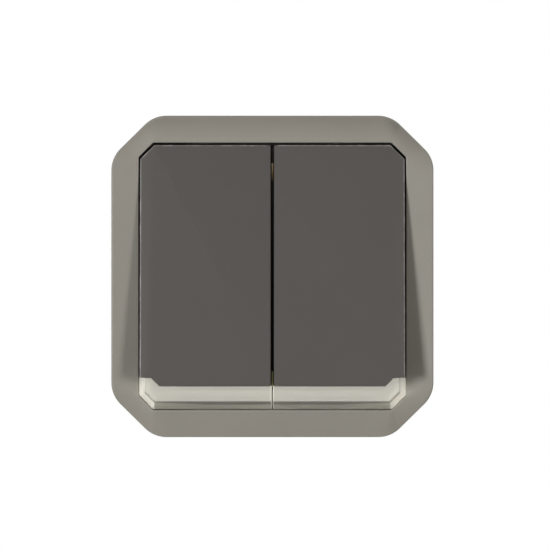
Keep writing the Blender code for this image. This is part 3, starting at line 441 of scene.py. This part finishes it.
def lens_outline(lower_side, bottom, diagonal):
    """The lens from the front: the cut lower corner, the ear at the outer end and the seam."""
    shift = SEAM * math.tan(math.pi / 8)
    return [
        (LENS_INNER, -bottom), (diagonal - bottom, -bottom), (lower_side, lower_side - diagonal),
        (lower_side, EAR_Z - SEAM), (EAR_X + shift, EAR_Z - SEAM), (NOTCH_X + shift, NOTCH_Z - SEAM),
        (LENS_INNER, NOTCH_Z - SEAM),
    ]


def make_lens(side, hand):
    """A hollow light guide that steps down in facets, with tongues that grip the rocker."""
    face = mirrored(lens_outline(LENS_FACE_SIDE, LENS_FACE_BOTTOM, LENS_FACE_DIAGONAL), side)
    base = mirrored(lens_outline(LENS_SIDE, LENS_BOTTOM, LENS_DIAGONAL), side)
    shoulder, step = (
        [Vector(f).lerp(Vector(b), share) for f, b in zip(face, base)]
        for share in (LENS_SHOULDER_SHARE, LENS_STEP_SHARE)
    )
    lens = loft(f"lens_clear_{hand}", [
        on_surface(inset(face, LENS_ROUND), face_depth),
        [(p.x, -face_depth(p.y) + 2 * LENS_ROUND, p.y) for p in shoulder],
        [(p.x, -LENS_STEP, p.y) for p in step],
        on_surface(base, lambda z: LENS_BASE),
        on_surface(base, lambda z: LENS_BACK),
    ])
    inner_face, inner_base = inset(face, LENS_WALL), inset(base, LENS_WALL)
    hollow = loft(f"lens_room_{hand}", [
        on_surface(inner_face, lambda z: face_depth(z) - LENS_WALL),
        on_surface(inner_base, lambda z: LENS_BASE),
        on_surface(inner_base, lambda z: LENS_BACK - LENS_WALL),
    ])
    lens = carve(lens, "DIFFERENCE", [hollow])
    tongues = []
    for i, place in enumerate(TONGUE_X):
        across = span(side, place - TONGUE_HALF, place + TONGUE_HALF)
        tongues.append(box(f"tongue_{hand}_{i}", across, TONGUE_Y, TONGUE_Z))
        tongues.append(box(f"barb_{hand}_{i}", across, BARB_Y, BARB_Z))
    return carve(lens, "UNION", tongues)


def make_light_bar(side, hand):
    """The plate close behind a lens's face, which scatters the lamp's light."""
    face = mirrored(lens_outline(LENS_FACE_SIDE, LENS_FACE_BOTTOM, LENS_FACE_DIAGONAL), side)
    rim, front = inset(face, BAR_INSET), inset(face, BAR_INSET + BAR_ROUND)
    return loft(f"light_bar_{hand}", [
        on_surface(front, lambda z: face_depth(z) - LENS_WALL - BAR_GAP),
        on_surface(rim, lambda z: face_depth(z) - LENS_WALL - BAR_GAP - BAR_ROUND),
        on_surface(rim, lambda z: face_depth(z) - LENS_WALL - BAR_GAP - BAR_THICKNESS),
    ], sharp=ROCKER_ANGLE)


# Finishes.

EDGE_TURN = (0.86, 0.995)  # cosine of the turn at a full edge, and where an edge starts
ROLL_FACING = (-0.97, -0.8)  # y of the normal, from where the face ends to the full edge
SIDE_FACING = (-0.35, -0.1)  # y of the normal, from the full edge to where the side starts
GAP_HIGHLIGHT_FADE = (0.8 * MM, 1.4 * MM)  # x over which the rockers' painted edge highlight comes in beside the centre gap
END_BAND = (LENS_INNER + 0.06 * MM, LENS_INNER + 0.16 * MM)  # x where the painted highlight on a lens's inner end stops
EDGE_WEAR_REACH = 0.25 * MM
EDGE_WEAR_LIFT = 0.05  # how much paler plastic is at its scuffed edges, above its colour times the gain for pale edges
# Painted highlight: how much paler a rocker's rolled edges are, above their colour times the gain below,
# which also serves scuffed edges.
ROLLED_HIGHLIGHT_LIFT = 0.2
WEAR_AND_HIGHLIGHT_GAIN = 1.6
ACRYLIC_IOR = 1.49
PAINTED_SHADE_GAIN = 0.63  # tone of the painted shade band below a lens's face, beside the face's own
PAINTED_PALE_BAND_GAIN = 1.48  # tone of the painted pale band below that
# Painted highlight on a lens's cut facets and inner end, and the colour of the painted glow there.
PAINTED_CUT_HIGHLIGHT = (0.9, 0.88, 0.82)
PAINTED_GLOW_TONE = (0.74, 0.73, 0.67)
BLACK = (0.0, 0.0, 0.0)
WHITE = (1.0, 1.0, 1.0)
RANGE_SOCKETS = ("From Min", "From Max", "To Min", "To Max")


class Finish:
    """A Principled material whose colour, roughness and bump come from nodes."""

    def __init__(self, name, roughness, metallic=0.0, **sockets):
        self.material = bpy.data.materials.new(name)
        self.material.use_nodes = True
        self.nodes = self.material.node_tree.nodes
        self.links = self.material.node_tree.links
        self.shader = self.nodes["Principled BSDF"]
        self.shader.inputs["Roughness"].default_value = roughness
        self.shader.inputs["Metallic"].default_value = metallic
        for socket, value in sockets.items():
            self.shader.inputs[socket.replace("_", " ")].default_value = value
        coordinates = self.nodes.new("ShaderNodeTexCoord")
        self.place = coordinates.outputs["Object"]
        self.facing = coordinates.outputs["Normal"]
        self.normal = None

    def split(self, vector):
        """The X, Y and Z of a vector."""
        node = self.nodes.new("ShaderNodeSeparateXYZ")
        self.links.new(vector, node.inputs[0])
        return node.outputs

    def noise(self, size, detail=3, stretch=(1, 1, 1)):
        """A noise from 0 to 1 whose features are about size metres across."""
        mapping = self.nodes.new("ShaderNodeMapping")
        mapping.inputs["Scale"].default_value = [s / size for s in stretch]
        self.links.new(self.place, mapping.inputs["Vector"])
        node = self.nodes.new("ShaderNodeTexNoise")
        node.inputs["Scale"].default_value = 1.0
        node.inputs["Detail"].default_value = detail
        self.links.new(mapping.outputs["Vector"], node.inputs["Vector"])
        return node.outputs["Fac"]

    def ranged(self, value, low, high, start=0.3, end=0.7):
        """Maps start..end of a value to low..high."""
        node = self.nodes.new("ShaderNodeMapRange")
        for socket, number in zip(RANGE_SOCKETS, (start, end, low, high)):
            node.inputs[socket].default_value = number
        self.links.new(value, node.inputs["Value"])
        return node.outputs["Result"]

    def maths(self, operation, *values):
        """One step of arithmetic on sockets and numbers."""
        node = self.nodes.new("ShaderNodeMath")
        node.operation = operation
        for socket, value in zip(node.inputs, values):
            if isinstance(value, bpy.types.NodeSocket):
                self.links.new(value, socket)
            else:
                socket.default_value = value
        return node.outputs[0]

    def mix(self, factor, first, second, blend="MIX"):
        """Mixes two colours, which may be sockets."""
        node = self.nodes.new("ShaderNodeMix")
        node.data_type = "RGBA"
        node.blend_type = blend
        for socket, value in zip((node.inputs[0], node.inputs[6], node.inputs[7]), (factor, first, second)):
            if isinstance(value, bpy.types.NodeSocket):
                self.links.new(value, socket)
            else:
                socket.default_value = value if isinstance(value, float) else (*value, 1.0)
        return node.outputs[2]

    def edges(self, radius):
        """1 where the surface turns within a radius, and 0 where it is flat."""
        bevel = self.nodes.new("ShaderNodeBevel")
        bevel.samples = 4
        bevel.inputs["Radius"].default_value = radius
        geometry = self.nodes.new("ShaderNodeNewGeometry")
        product = self.nodes.new("ShaderNodeVectorMath")
        product.operation = "DOT_PRODUCT"
        self.links.new(bevel.outputs["Normal"], product.inputs[0])
        self.links.new(geometry.outputs["Normal"], product.inputs[1])
        return self.ranged(product.outputs["Value"], 1.0, 0.0, *EDGE_TURN)

    def turned(self):
        """1 where the surface turns from the front to a side, but for the edges at the centre gap: where the
        rockers' painted edge highlight goes.
        """
        forward = self.split(self.facing)["Y"]
        start = self.ranged(forward, 0.0, 1.0, *ROLL_FACING)
        turn = self.maths("MULTIPLY", start, self.ranged(forward, 1.0, 0.0, *SIDE_FACING))
        across = self.maths("ABSOLUTE", self.split(self.place)["X"])
        return self.maths("MULTIPLY", turn, self.ranged(across, 0.0, 1.0, *GAP_HIGHLIGHT_FADE))

    def bump(self, height, distance):
        """Adds a height in metres to the surface."""
        node = self.nodes.new("ShaderNodeBump")
        node.inputs["Distance"].default_value = distance
        self.links.new(height, node.inputs["Height"])
        if self.normal:
            self.links.new(self.normal, node.inputs["Normal"])
        self.normal = node.outputs["Normal"]

    def done(self, colour, roughness=None):
        """Connects the colour, roughness and bump, and returns the material."""
        self.links.new(colour, self.shader.inputs["Base Color"])
        if roughness:
            self.links.new(roughness, self.shader.inputs["Roughness"])
        if self.normal:
            self.links.new(self.normal, self.shader.inputs["Normal"])
        return self.material


def scaled(colour, factor):
    """The colour with each channel times a factor."""
    return tuple(channel * factor for channel in colour)


def plastic(name, colour, roughness, grain=0.16, depth=0.006, wear_and_highlight=0.12, rolled=False):
    """Moulded plastic: fine eroded grain, faint flow marks, and edges scuffed paler; with rolled, the paler
    rolled edges are a painted highlight instead.
    """
    finish = Finish(name, roughness)
    fine = finish.noise(grain * MM, 4)
    broad = finish.noise(9 * MM, 3)
    tone = finish.mix(finish.ranged(broad, 0.0, 1.0), scaled(colour, 0.98), scaled(colour, 1.02))
    speckle = finish.mix(finish.ranged(fine, 0.0, 1.0, 0.25, 0.75), scaled(WHITE, 0.94), WHITE)
    tone = finish.mix(1.0, tone, speckle, "MULTIPLY")
    # Paler edges: scuffing on most parts, and a painted highlight along the rockers' rolled edges.
    rub_and_highlight = finish.ranged(finish.noise(1.3 * MM, 5), 0.4 * wear_and_highlight, wear_and_highlight, 0.42, 0.62)
    lift = ROLLED_HIGHLIGHT_LIFT if rolled else EDGE_WEAR_LIFT
    edge = finish.turned() if rolled else finish.edges(EDGE_WEAR_REACH)
    wear_and_highlight_tone = [min(1.0, channel * WEAR_AND_HIGHLIGHT_GAIN + lift) for channel in colour]
    tone = finish.mix(finish.maths("MULTIPLY", edge, rub_and_highlight), tone, wear_and_highlight_tone)
    finish.bump(fine, depth * MM)
    rough = finish.ranged(finish.noise(0.7 * MM, 4), roughness - 0.02, roughness + 0.02)
    return finish.done(tone, rough)


def rubber(name, colour):
    """Soft moulding: chalky bloom over a fine grain."""
    finish = Finish(name, 0.75)
    bloom = finish.ranged(finish.noise(3.5 * MM, 5), 0.0, 1.0, 0.4, 0.65)
    tone = finish.mix(bloom, scaled(colour, 0.85), scaled(colour, 1.35))
    finish.bump(finish.noise(0.22 * MM, 3), 0.008 * MM)
    return finish.done(tone, finish.ranged(bloom, 0.62, 0.85, 0.0, 1.0))


def metal(name, colour, dull, roughness=0.28, stretch=(1, 14, 1)):
    """Rolled or drawn metal: fine lines along the stock and dull blotches."""
    finish = Finish(name, roughness, 1.0)
    lines = finish.noise(1.2 * MM, 4, stretch)
    blotch = finish.ranged(finish.noise(2.5 * MM, 5), 0.0, 1.0, 0.45, 0.7)
    tone = finish.mix(blotch, colour, dull)
    tone = finish.mix(finish.ranged(lines, 0.0, 0.25), tone, scaled(colour, 0.7))
    finish.bump(lines, 0.004 * MM)
    return finish.done(tone, finish.ranged(blotch, roughness - 0.06, roughness + 0.14, 0.0, 1.0))


def flow_lines(finish, colour):
    """The colour with faint lines from the flow of a polished plastic, which also go in the bump."""
    flow = finish.noise(4 * MM, 3, (1, 1, 3))
    finish.bump(flow, 0.01 * MM)
    return finish.mix(finish.ranged(flow, 0.0, 1.0), colour, scaled(colour, 0.97))


def haze(finish, roughness):
    """A roughness that varies a little over a polished plastic."""
    return finish.ranged(finish.noise(1.1 * MM, 4), roughness - 0.02, roughness + 0.05)


def clear(name, colour, roughness=0.04):
    """Clear plastic, with faint flow lines and haze."""
    finish = Finish(name, roughness, Transmission_Weight=1.0, IOR=ACRYLIC_IOR)
    return finish.done(flow_lines(finish, colour), haze(finish, roughness))


def painted_lens_bands(finish):
    """Masks over a lens for painted light and shade: the cut facets and inner end, which get a painted
    highlight, then a painted dark band below its face and a painted pale band below that.
    """
    place = finish.split(finish.place)
    across = finish.maths("ABSOLUTE", place["X"])
    below = finish.maths("MULTIPLY", place["Z"], -1.0)
    slant = finish.maths("ADD", across, below)

    side = finish.ranged(across, 0.0, 1.0, LENS_FACE_SIDE, LENS_FACE_SIDE + BAND_SOFT)
    cut = LENS_FACE_DIAGONAL + LIGHT_LINE
    corner = finish.ranged(slant, 0.0, 1.0, cut, cut + BAND_SOFT)
    outer = finish.ranged(across, 0.0, 1.0, CUT_START - BAND_SOFT, CUT_START + BAND_SOFT)
    corner = finish.maths("MULTIPLY", corner, outer)
    end = finish.ranged(across, 1.0, 0.0, *END_BAND)
    painted_highlight = finish.maths("MAXIMUM", finish.maths("MAXIMUM", side, corner), end)

    band = finish.ranged(across, BAND_DEPTH, BAND_THIN, BAND_START, CUT_START)
    under = finish.maths("SUBTRACT", below, LENS_FACE_BOTTOM)
    upper = finish.ranged(under, 0.0, 1.0, -BAND_SOFT, BAND_SOFT)
    lower = finish.ranged(finish.maths("SUBTRACT", under, band), 1.0, 0.0, -BAND_SOFT, BAND_SOFT)
    painted_shade = finish.maths("MULTIPLY", upper, lower)
    painted_pale_band = finish.maths("SUBTRACT", upper, lower)
    return painted_highlight, painted_shade, painted_pale_band


def milky(name, colour, roughness=0.12):
    """A pale plastic that lets part of the light through, with painted dark and pale bands on its flanks,
    and cut edges with a painted highlight and a painted glow.
    """
    finish = Finish(
        name, roughness, Transmission_Weight=0.35, IOR=ACRYLIC_IOR, Emission_Strength=PAINTED_EDGE_GLOW)
    painted_highlight, painted_shade, painted_pale_band = painted_lens_bands(finish)
    tone = finish.mix(painted_shade, flow_lines(finish, colour), scaled(colour, PAINTED_SHADE_GAIN))
    tone = finish.mix(painted_pale_band, tone, scaled(colour, PAINTED_PALE_BAND_GAIN))
    tone = finish.mix(painted_highlight, tone, PAINTED_CUT_HIGHLIGHT)
    glow = finish.mix(painted_highlight, BLACK, PAINTED_GLOW_TONE)
    finish.links.new(glow, finish.shader.inputs["Emission Color"])
    return finish.done(tone, haze(finish, roughness))


def frosted(name, colour):
    """A cloudy moulding with a fine frosting."""
    finish = Finish(name, 0.5)
    cloud = finish.noise(5 * MM, 3)
    tone = finish.mix(finish.ranged(cloud, 0.0, 1.0), scaled(colour, 0.96), scaled(colour, 1.04))
    finish.bump(finish.noise(0.12 * MM, 2), 0.004 * MM)
    return finish.done(tone, finish.ranged(finish.noise(0.8 * MM, 3), 0.42, 0.6))


def board(name, colour):
    """Lacquered circuit board: woven glass under a green lacquer."""
    finish = Finish(name, 0.35)
    weave = finish.nodes.new("ShaderNodeTexWave")
    weave.inputs["Scale"].default_value = 1 / (1.6 * MM)
    weave.inputs["Distortion"].default_value = 1.5
    finish.links.new(finish.place, weave.inputs["Vector"])
    tone = finish.mix(weave.outputs["Fac"], scaled(colour, 0.8), scaled(colour, 1.25))
    finish.bump(weave.outputs["Fac"], 0.004 * MM)
    return finish.done(tone, finish.ranged(finish.noise(1.5 * MM, 4), 0.25, 0.5))


FINISHES = {
    "bezel_grey": lambda: plastic("bezel_grain", (0.245, 0.233, 0.203), 0.5, wear_and_highlight=0.08),
    # The rockers' paler rolled edges are a painted highlight.
    "rocker_anthracite": lambda: plastic(
        "rocker_grain", (0.072, 0.066, 0.061), 0.5, grain=0.2, wear_and_highlight=1.0, rolled=True),
    # The lens gets painted highlights and a painted glow on its cut facets, and painted bands below its
    # face.
    "clear_lens": lambda: milky("lens_polish_and_painted_light", (0.59, 0.58, 0.53)),
    "white_diffuser": lambda: frosted("light_bar_frost", (0.20, 0.195, 0.18)),
    "seal_rubber": lambda: rubber("gasket_rubber", (0.028, 0.028, 0.027)),
    "membrane_silicone": lambda: rubber("membrane_rubber", (0.10, 0.095, 0.085)),
    "chassis_polyamide": lambda: plastic("chassis_grain", (0.040, 0.038, 0.036), 0.5, depth=0.008, wear_and_highlight=0.2),
    "case_polyamide": lambda: plastic("case_grain", (0.20, 0.20, 0.188), 0.5, depth=0.008, wear_and_highlight=0.2),
    "actuator_white": lambda: plastic("actuator_grain", (0.70, 0.69, 0.64), 0.42, depth=0.003),
    "release_orange": lambda: plastic("button_grain", (0.75, 0.19, 0.03), 0.42, depth=0.004),
    "brass": lambda: metal("brass_strip", (0.74, 0.50, 0.20), (0.42, 0.27, 0.10)),
    "contact_silver": lambda: metal("silver_contact", (0.82, 0.77, 0.68), (0.50, 0.44, 0.36)),
    "spring_steel": lambda: metal("spring_wire", (0.56, 0.56, 0.57), (0.38, 0.37, 0.36), 0.22),
    "zinc_steel": lambda: metal("zinc_plate", (0.66, 0.67, 0.69), (0.50, 0.50, 0.48), 0.32),
    "board_green": lambda: board("board_lacquer", (0.04, 0.20, 0.06)),
    "led_clear": lambda: clear("led_resin", (0.93, 0.95, 0.72), 0.06),
}
# Painted light: the fin's pale olive stands in for light through a light guide's end.
FIN_PAINTED_LIGHT = (0.62, 0.66, 0.27)
# Painted shade: the leaf's colour is brass darkened to stand in for the shade in the gap.
LEAF_PAINTED_SHADE = (0.11, 0.075, 0.03)


# The CAD nodes that stay.

LARGE_NODES = ("chassis", "housing", "mechanism_cover", "membrane")
LARGE_EDGE = 0.12 * MM
SMALL_EDGE = 0.06 * MM
BROKEN_ANGLE = 40  # degrees


def geometry_group(name):
    """A node group that drops imported normals, with its last node and output left to connect."""
    group = bpy.data.node_groups.new(name, "GeometryNodeTree")
    group.interface.new_socket("Geometry", in_out="INPUT", socket_type="NodeSocketGeometry")
    group.interface.new_socket("Geometry", in_out="OUTPUT", socket_type="NodeSocketGeometry")
    start, end = group.nodes.new("NodeGroupInput"), group.nodes.new("NodeGroupOutput")
    strip = group.nodes.new("GeometryNodeRemoveAttribute")
    strip.inputs["Name"].default_value = "custom_normal"
    group.links.new(start.outputs[0], strip.inputs["Geometry"])
    return group, strip, end


def shading_group():
    """A node group that shades smoothly up to an angle between faces."""
    group, strip, end = geometry_group("shade_by_angle")
    nodes, links = group.nodes, group.links
    faces = nodes.new("GeometryNodeSetShadeSmooth")
    faces.domain = "FACE"
    faces.inputs["Shade Smooth"].default_value = True
    angle = nodes.new("GeometryNodeInputMeshEdgeAngle")
    compare = nodes.new("FunctionNodeCompare")
    compare.operation = "LESS_THAN"
    compare.inputs["B"].default_value = math.radians(SHARP_ANGLE)
    edges = nodes.new("GeometryNodeSetShadeSmooth")
    edges.domain = "EDGE"
    links.new(strip.outputs["Geometry"], faces.inputs["Geometry"])
    links.new(faces.outputs["Geometry"], edges.inputs["Geometry"])
    links.new(angle.outputs["Unsigned Angle"], compare.inputs["A"])
    links.new(compare.outputs["Result"], edges.inputs["Shade Smooth"])
    links.new(edges.outputs["Geometry"], end.inputs[0])
    return group


def weld_group():
    """A node group that welds the imported triangles together."""
    group, strip, end = geometry_group("weld_triangles")
    merge = group.nodes.new("GeometryNodeMergeByDistance")
    merge.inputs["Distance"].default_value = WELD_DISTANCE
    group.links.new(strip.outputs["Geometry"], merge.inputs["Geometry"])
    group.links.new(merge.outputs["Geometry"], end.inputs[0])
    return group


def finish_node(node, obj, weld, shade):
    """Gives a CAD node that stays its broken edges and clean shading."""
    obj.modifiers.new("weld", "NODES").node_group = weld
    if not node.startswith("toggle_spring"):
        bevel = obj.modifiers.new("broken_edges", "BEVEL")
        bevel.width = LARGE_EDGE if node in LARGE_NODES else SMALL_EDGE
        bevel.segments = 2
        bevel.limit_method = "ANGLE"
        bevel.angle_limit = math.radians(BROKEN_ANGLE)
    obj.modifiers.new("shade", "NODES").node_group = shade


# The room.

CAMERA_PLACE = (0.534 * MM, -1155.2 * MM, 0.283 * MM)
CAMERA_LENS = 366.6
CAMERA_SENSOR = 36.0
ROOM_COLOUR = (1.0, 0.99, 0.97)
ROOM_BELOW = 0.25  # strength of the room's light from straight below
ROOM_ABOVE = 0.16
FLOOR_Z = -0.12
FLOOR_RADIUS = 1.2
FLOOR_DARK = (0.32, 0.32, 0.315)
FLOOR_PALE = (0.36, 0.36, 0.355)
FLOOR_CLOUD = 0.3  # size of the cloudy tone on it
FLOOR_GLOW = 1.9  # the camera alone sees it, so it lights nothing

# Name, place, size, power and colour of each soft light. All are turned towards the origin.
LIGHTS = (
    ("key", (-0.895, -0.943, 0.05), (0.3, 0.4), 14.7, (1.0, 0.995, 0.99)),
    ("back", (0.35, 1.1, 0.8), (0.6, 0.6), 9.0, (1.0, 0.99, 0.97)),
    ("fill", (0.853, -0.981, 0.03), (0.3, 0.4), 7.2, (1.0, 0.965, 0.94)),
)


def make_camera():
    """A long lens straight in front of the switch."""
    data = bpy.data.cameras.new("camera")
    data.lens = CAMERA_LENS
    data.sensor_width = CAMERA_SENSOR
    data.clip_start = 0.05
    camera = bpy.data.objects.new("camera", data)
    camera.location = CAMERA_PLACE
    camera.rotation_euler = (math.pi / 2, 0, 0)
    bpy.context.scene.collection.objects.link(camera)
    bpy.context.scene.camera = camera


def area_light(name, place, size, power, colour):
    """A soft light at a place, turned towards the origin."""
    data = bpy.data.lights.new(name, "AREA")
    data.shape = "RECTANGLE"
    data.size, data.size_y = size
    data.energy = power
    data.color = colour
    light = bpy.data.objects.new(name, data)
    light.location = place
    light.rotation_euler = (-Vector(place)).to_track_quat("-Z", "Y").to_euler()
    bpy.context.scene.collection.objects.link(light)


def make_world():
    """White for the camera, and a dim room for everything else, darker overhead."""
    world = bpy.data.worlds.new("studio")
    bpy.context.scene.world = world
    world.use_nodes = True
    nodes, links = world.node_tree.nodes, world.node_tree.links
    output = nodes["World Output"]
    room = nodes["Background"]
    place = nodes.new("ShaderNodeTexCoord")
    split = nodes.new("ShaderNodeSeparateXYZ")
    links.new(place.outputs["Generated"], split.inputs[0])
    height = nodes.new("ShaderNodeMapRange")
    for socket, number in zip(RANGE_SOCKETS, (-1.0, 1.0, ROOM_BELOW, ROOM_ABOVE)):
        height.inputs[socket].default_value = number
    links.new(split.outputs["Z"], height.inputs["Value"])
    links.new(height.outputs["Result"], room.inputs["Strength"])
    room.inputs["Color"].default_value = (*ROOM_COLOUR, 1.0)
    backdrop = nodes.new("ShaderNodeBackground")
    backdrop.inputs["Color"].default_value = (*WHITE, 1.0)
    backdrop.inputs["Strength"].default_value = 1.0
    path = nodes.new("ShaderNodeLightPath")
    mix = nodes.new("ShaderNodeMixShader")
    links.new(path.outputs["Is Camera Ray"], mix.inputs[0])
    links.new(room.outputs[0], mix.inputs[1])
    links.new(backdrop.outputs[0], mix.inputs[2])
    links.new(mix.outputs[0], output.inputs["Surface"])


def make_floor():
    """A round floor below what the camera sees, paler to a camera than the light it gives back."""
    mesh_data = bmesh.new()
    bmesh.ops.create_circle(mesh_data, cap_ends=True, segments=96, radius=FLOOR_RADIUS)
    bmesh.ops.translate(mesh_data, vec=(0, 0, FLOOR_Z), verts=mesh_data.verts)
    floor = piece_from("floor", mesh_data)
    finish = Finish("floor_paper", 0.9)
    tone = finish.mix(finish.ranged(finish.noise(FLOOR_CLOUD), 0.0, 1.0), FLOOR_DARK, FLOOR_PALE)
    path = finish.nodes.new("ShaderNodeLightPath")
    glow = finish.maths("MULTIPLY", path.outputs["Is Camera Ray"], FLOOR_GLOW)
    finish.links.new(glow, finish.shader.inputs["Emission Strength"])
    finish.links.new(tone, finish.shader.inputs["Emission Color"])
    floor.data.materials.append(finish.done(tone))


# Painted shade and painted light in the gap between the rockers.


def make_gap_shade_web():
    """A dark strip behind the gap between the rockers, in the chassis's colour, put there as painted shade.
    """
    return box("gap_shade_web", (-WEB_HALF, WEB_HALF), WEB_Y, WEB_Z)


def make_gap_shade_leaf():
    """A dark brown leaf in front of the strip near the top, in brass darkened as painted shade."""
    return box("gap_shade_leaf", (-LEAF_HALF, LEAF_HALF), LEAF_Y, LEAF_Z)


def make_painted_light_fin(side, hand):
    """A thin pale olive fin at the end of a light guide, which stands up into the gap above the lens:
    painted light, standing in for light through the guide.
    """
    front_to_back = (FIN_SINK - face_depth(FIN_MIDDLE), -FIN_BACK)
    return box(f"light_fin_{hand}", span(side, *FIN_X), front_to_back, FIN_Z)


# Everything together.


def add_piece(piece, finish, body):
    """Gives a new piece its material and the body it rides on."""
    piece.data.materials.clear()
    piece.data.materials.append(finish)
    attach(piece, body)


def stand_in(piece, finishes, slot, body, node):
    """Puts a new piece in the place of a CAD node."""
    add_piece(piece, finishes[slot], body)
    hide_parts(node)


bpy.context.scene.view_settings.view_transform = "Standard"
finishes = {slot: make() for slot, make in FINISHES.items()}
fin_light_finish = frosted("fin_resin", FIN_PAINTED_LIGHT)
leaf_shade_finish = frosted("leaf_painted_shade", LEAF_PAINTED_SHADE)
stand_in(make_bezel(), finishes, "bezel_grey", "base", "bezel")
for gang_side, gang_hand in GANGS:
    gang_body = f"rocker_{gang_hand}"
    stand_in(make_rocker(gang_side, gang_hand), finishes, "rocker_anthracite", gang_body, gang_body)
    lens = make_lens(gang_side, gang_hand)
    bar = make_light_bar(gang_side, gang_hand)
    stand_in(lens, finishes, "clear_lens", gang_body, f"lens_{gang_hand}")
    stand_in(bar, finishes, "white_diffuser", gang_body, f"diffuser_{gang_hand}")
    for light_guide in (lens, bar):
        light_guide.visible_shadow = False  # light passes through the clear end of a rocker
    add_piece(make_painted_light_fin(gang_side, gang_hand), fin_light_finish, gang_body)
add_piece(make_gap_shade_web(), finishes["chassis_polyamide"], "base")
add_piece(make_gap_shade_leaf(), leaf_shade_finish, "base")

weld_tree, shade_tree = weld_group(), shading_group()
for node_name, node_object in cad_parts.items():
    slot_name = node_object.data.materials[0].name.split(".")[0]
    node_object.material_slots[0].link = "OBJECT"
    node_object.material_slots[0].material = finishes[slot_name]
    if not node_object.hide_render:
        finish_node(node_name, node_object, weld_tree, shade_tree)

make_camera()
make_world()
make_floor()
for light in LIGHTS:
    area_light(*light)
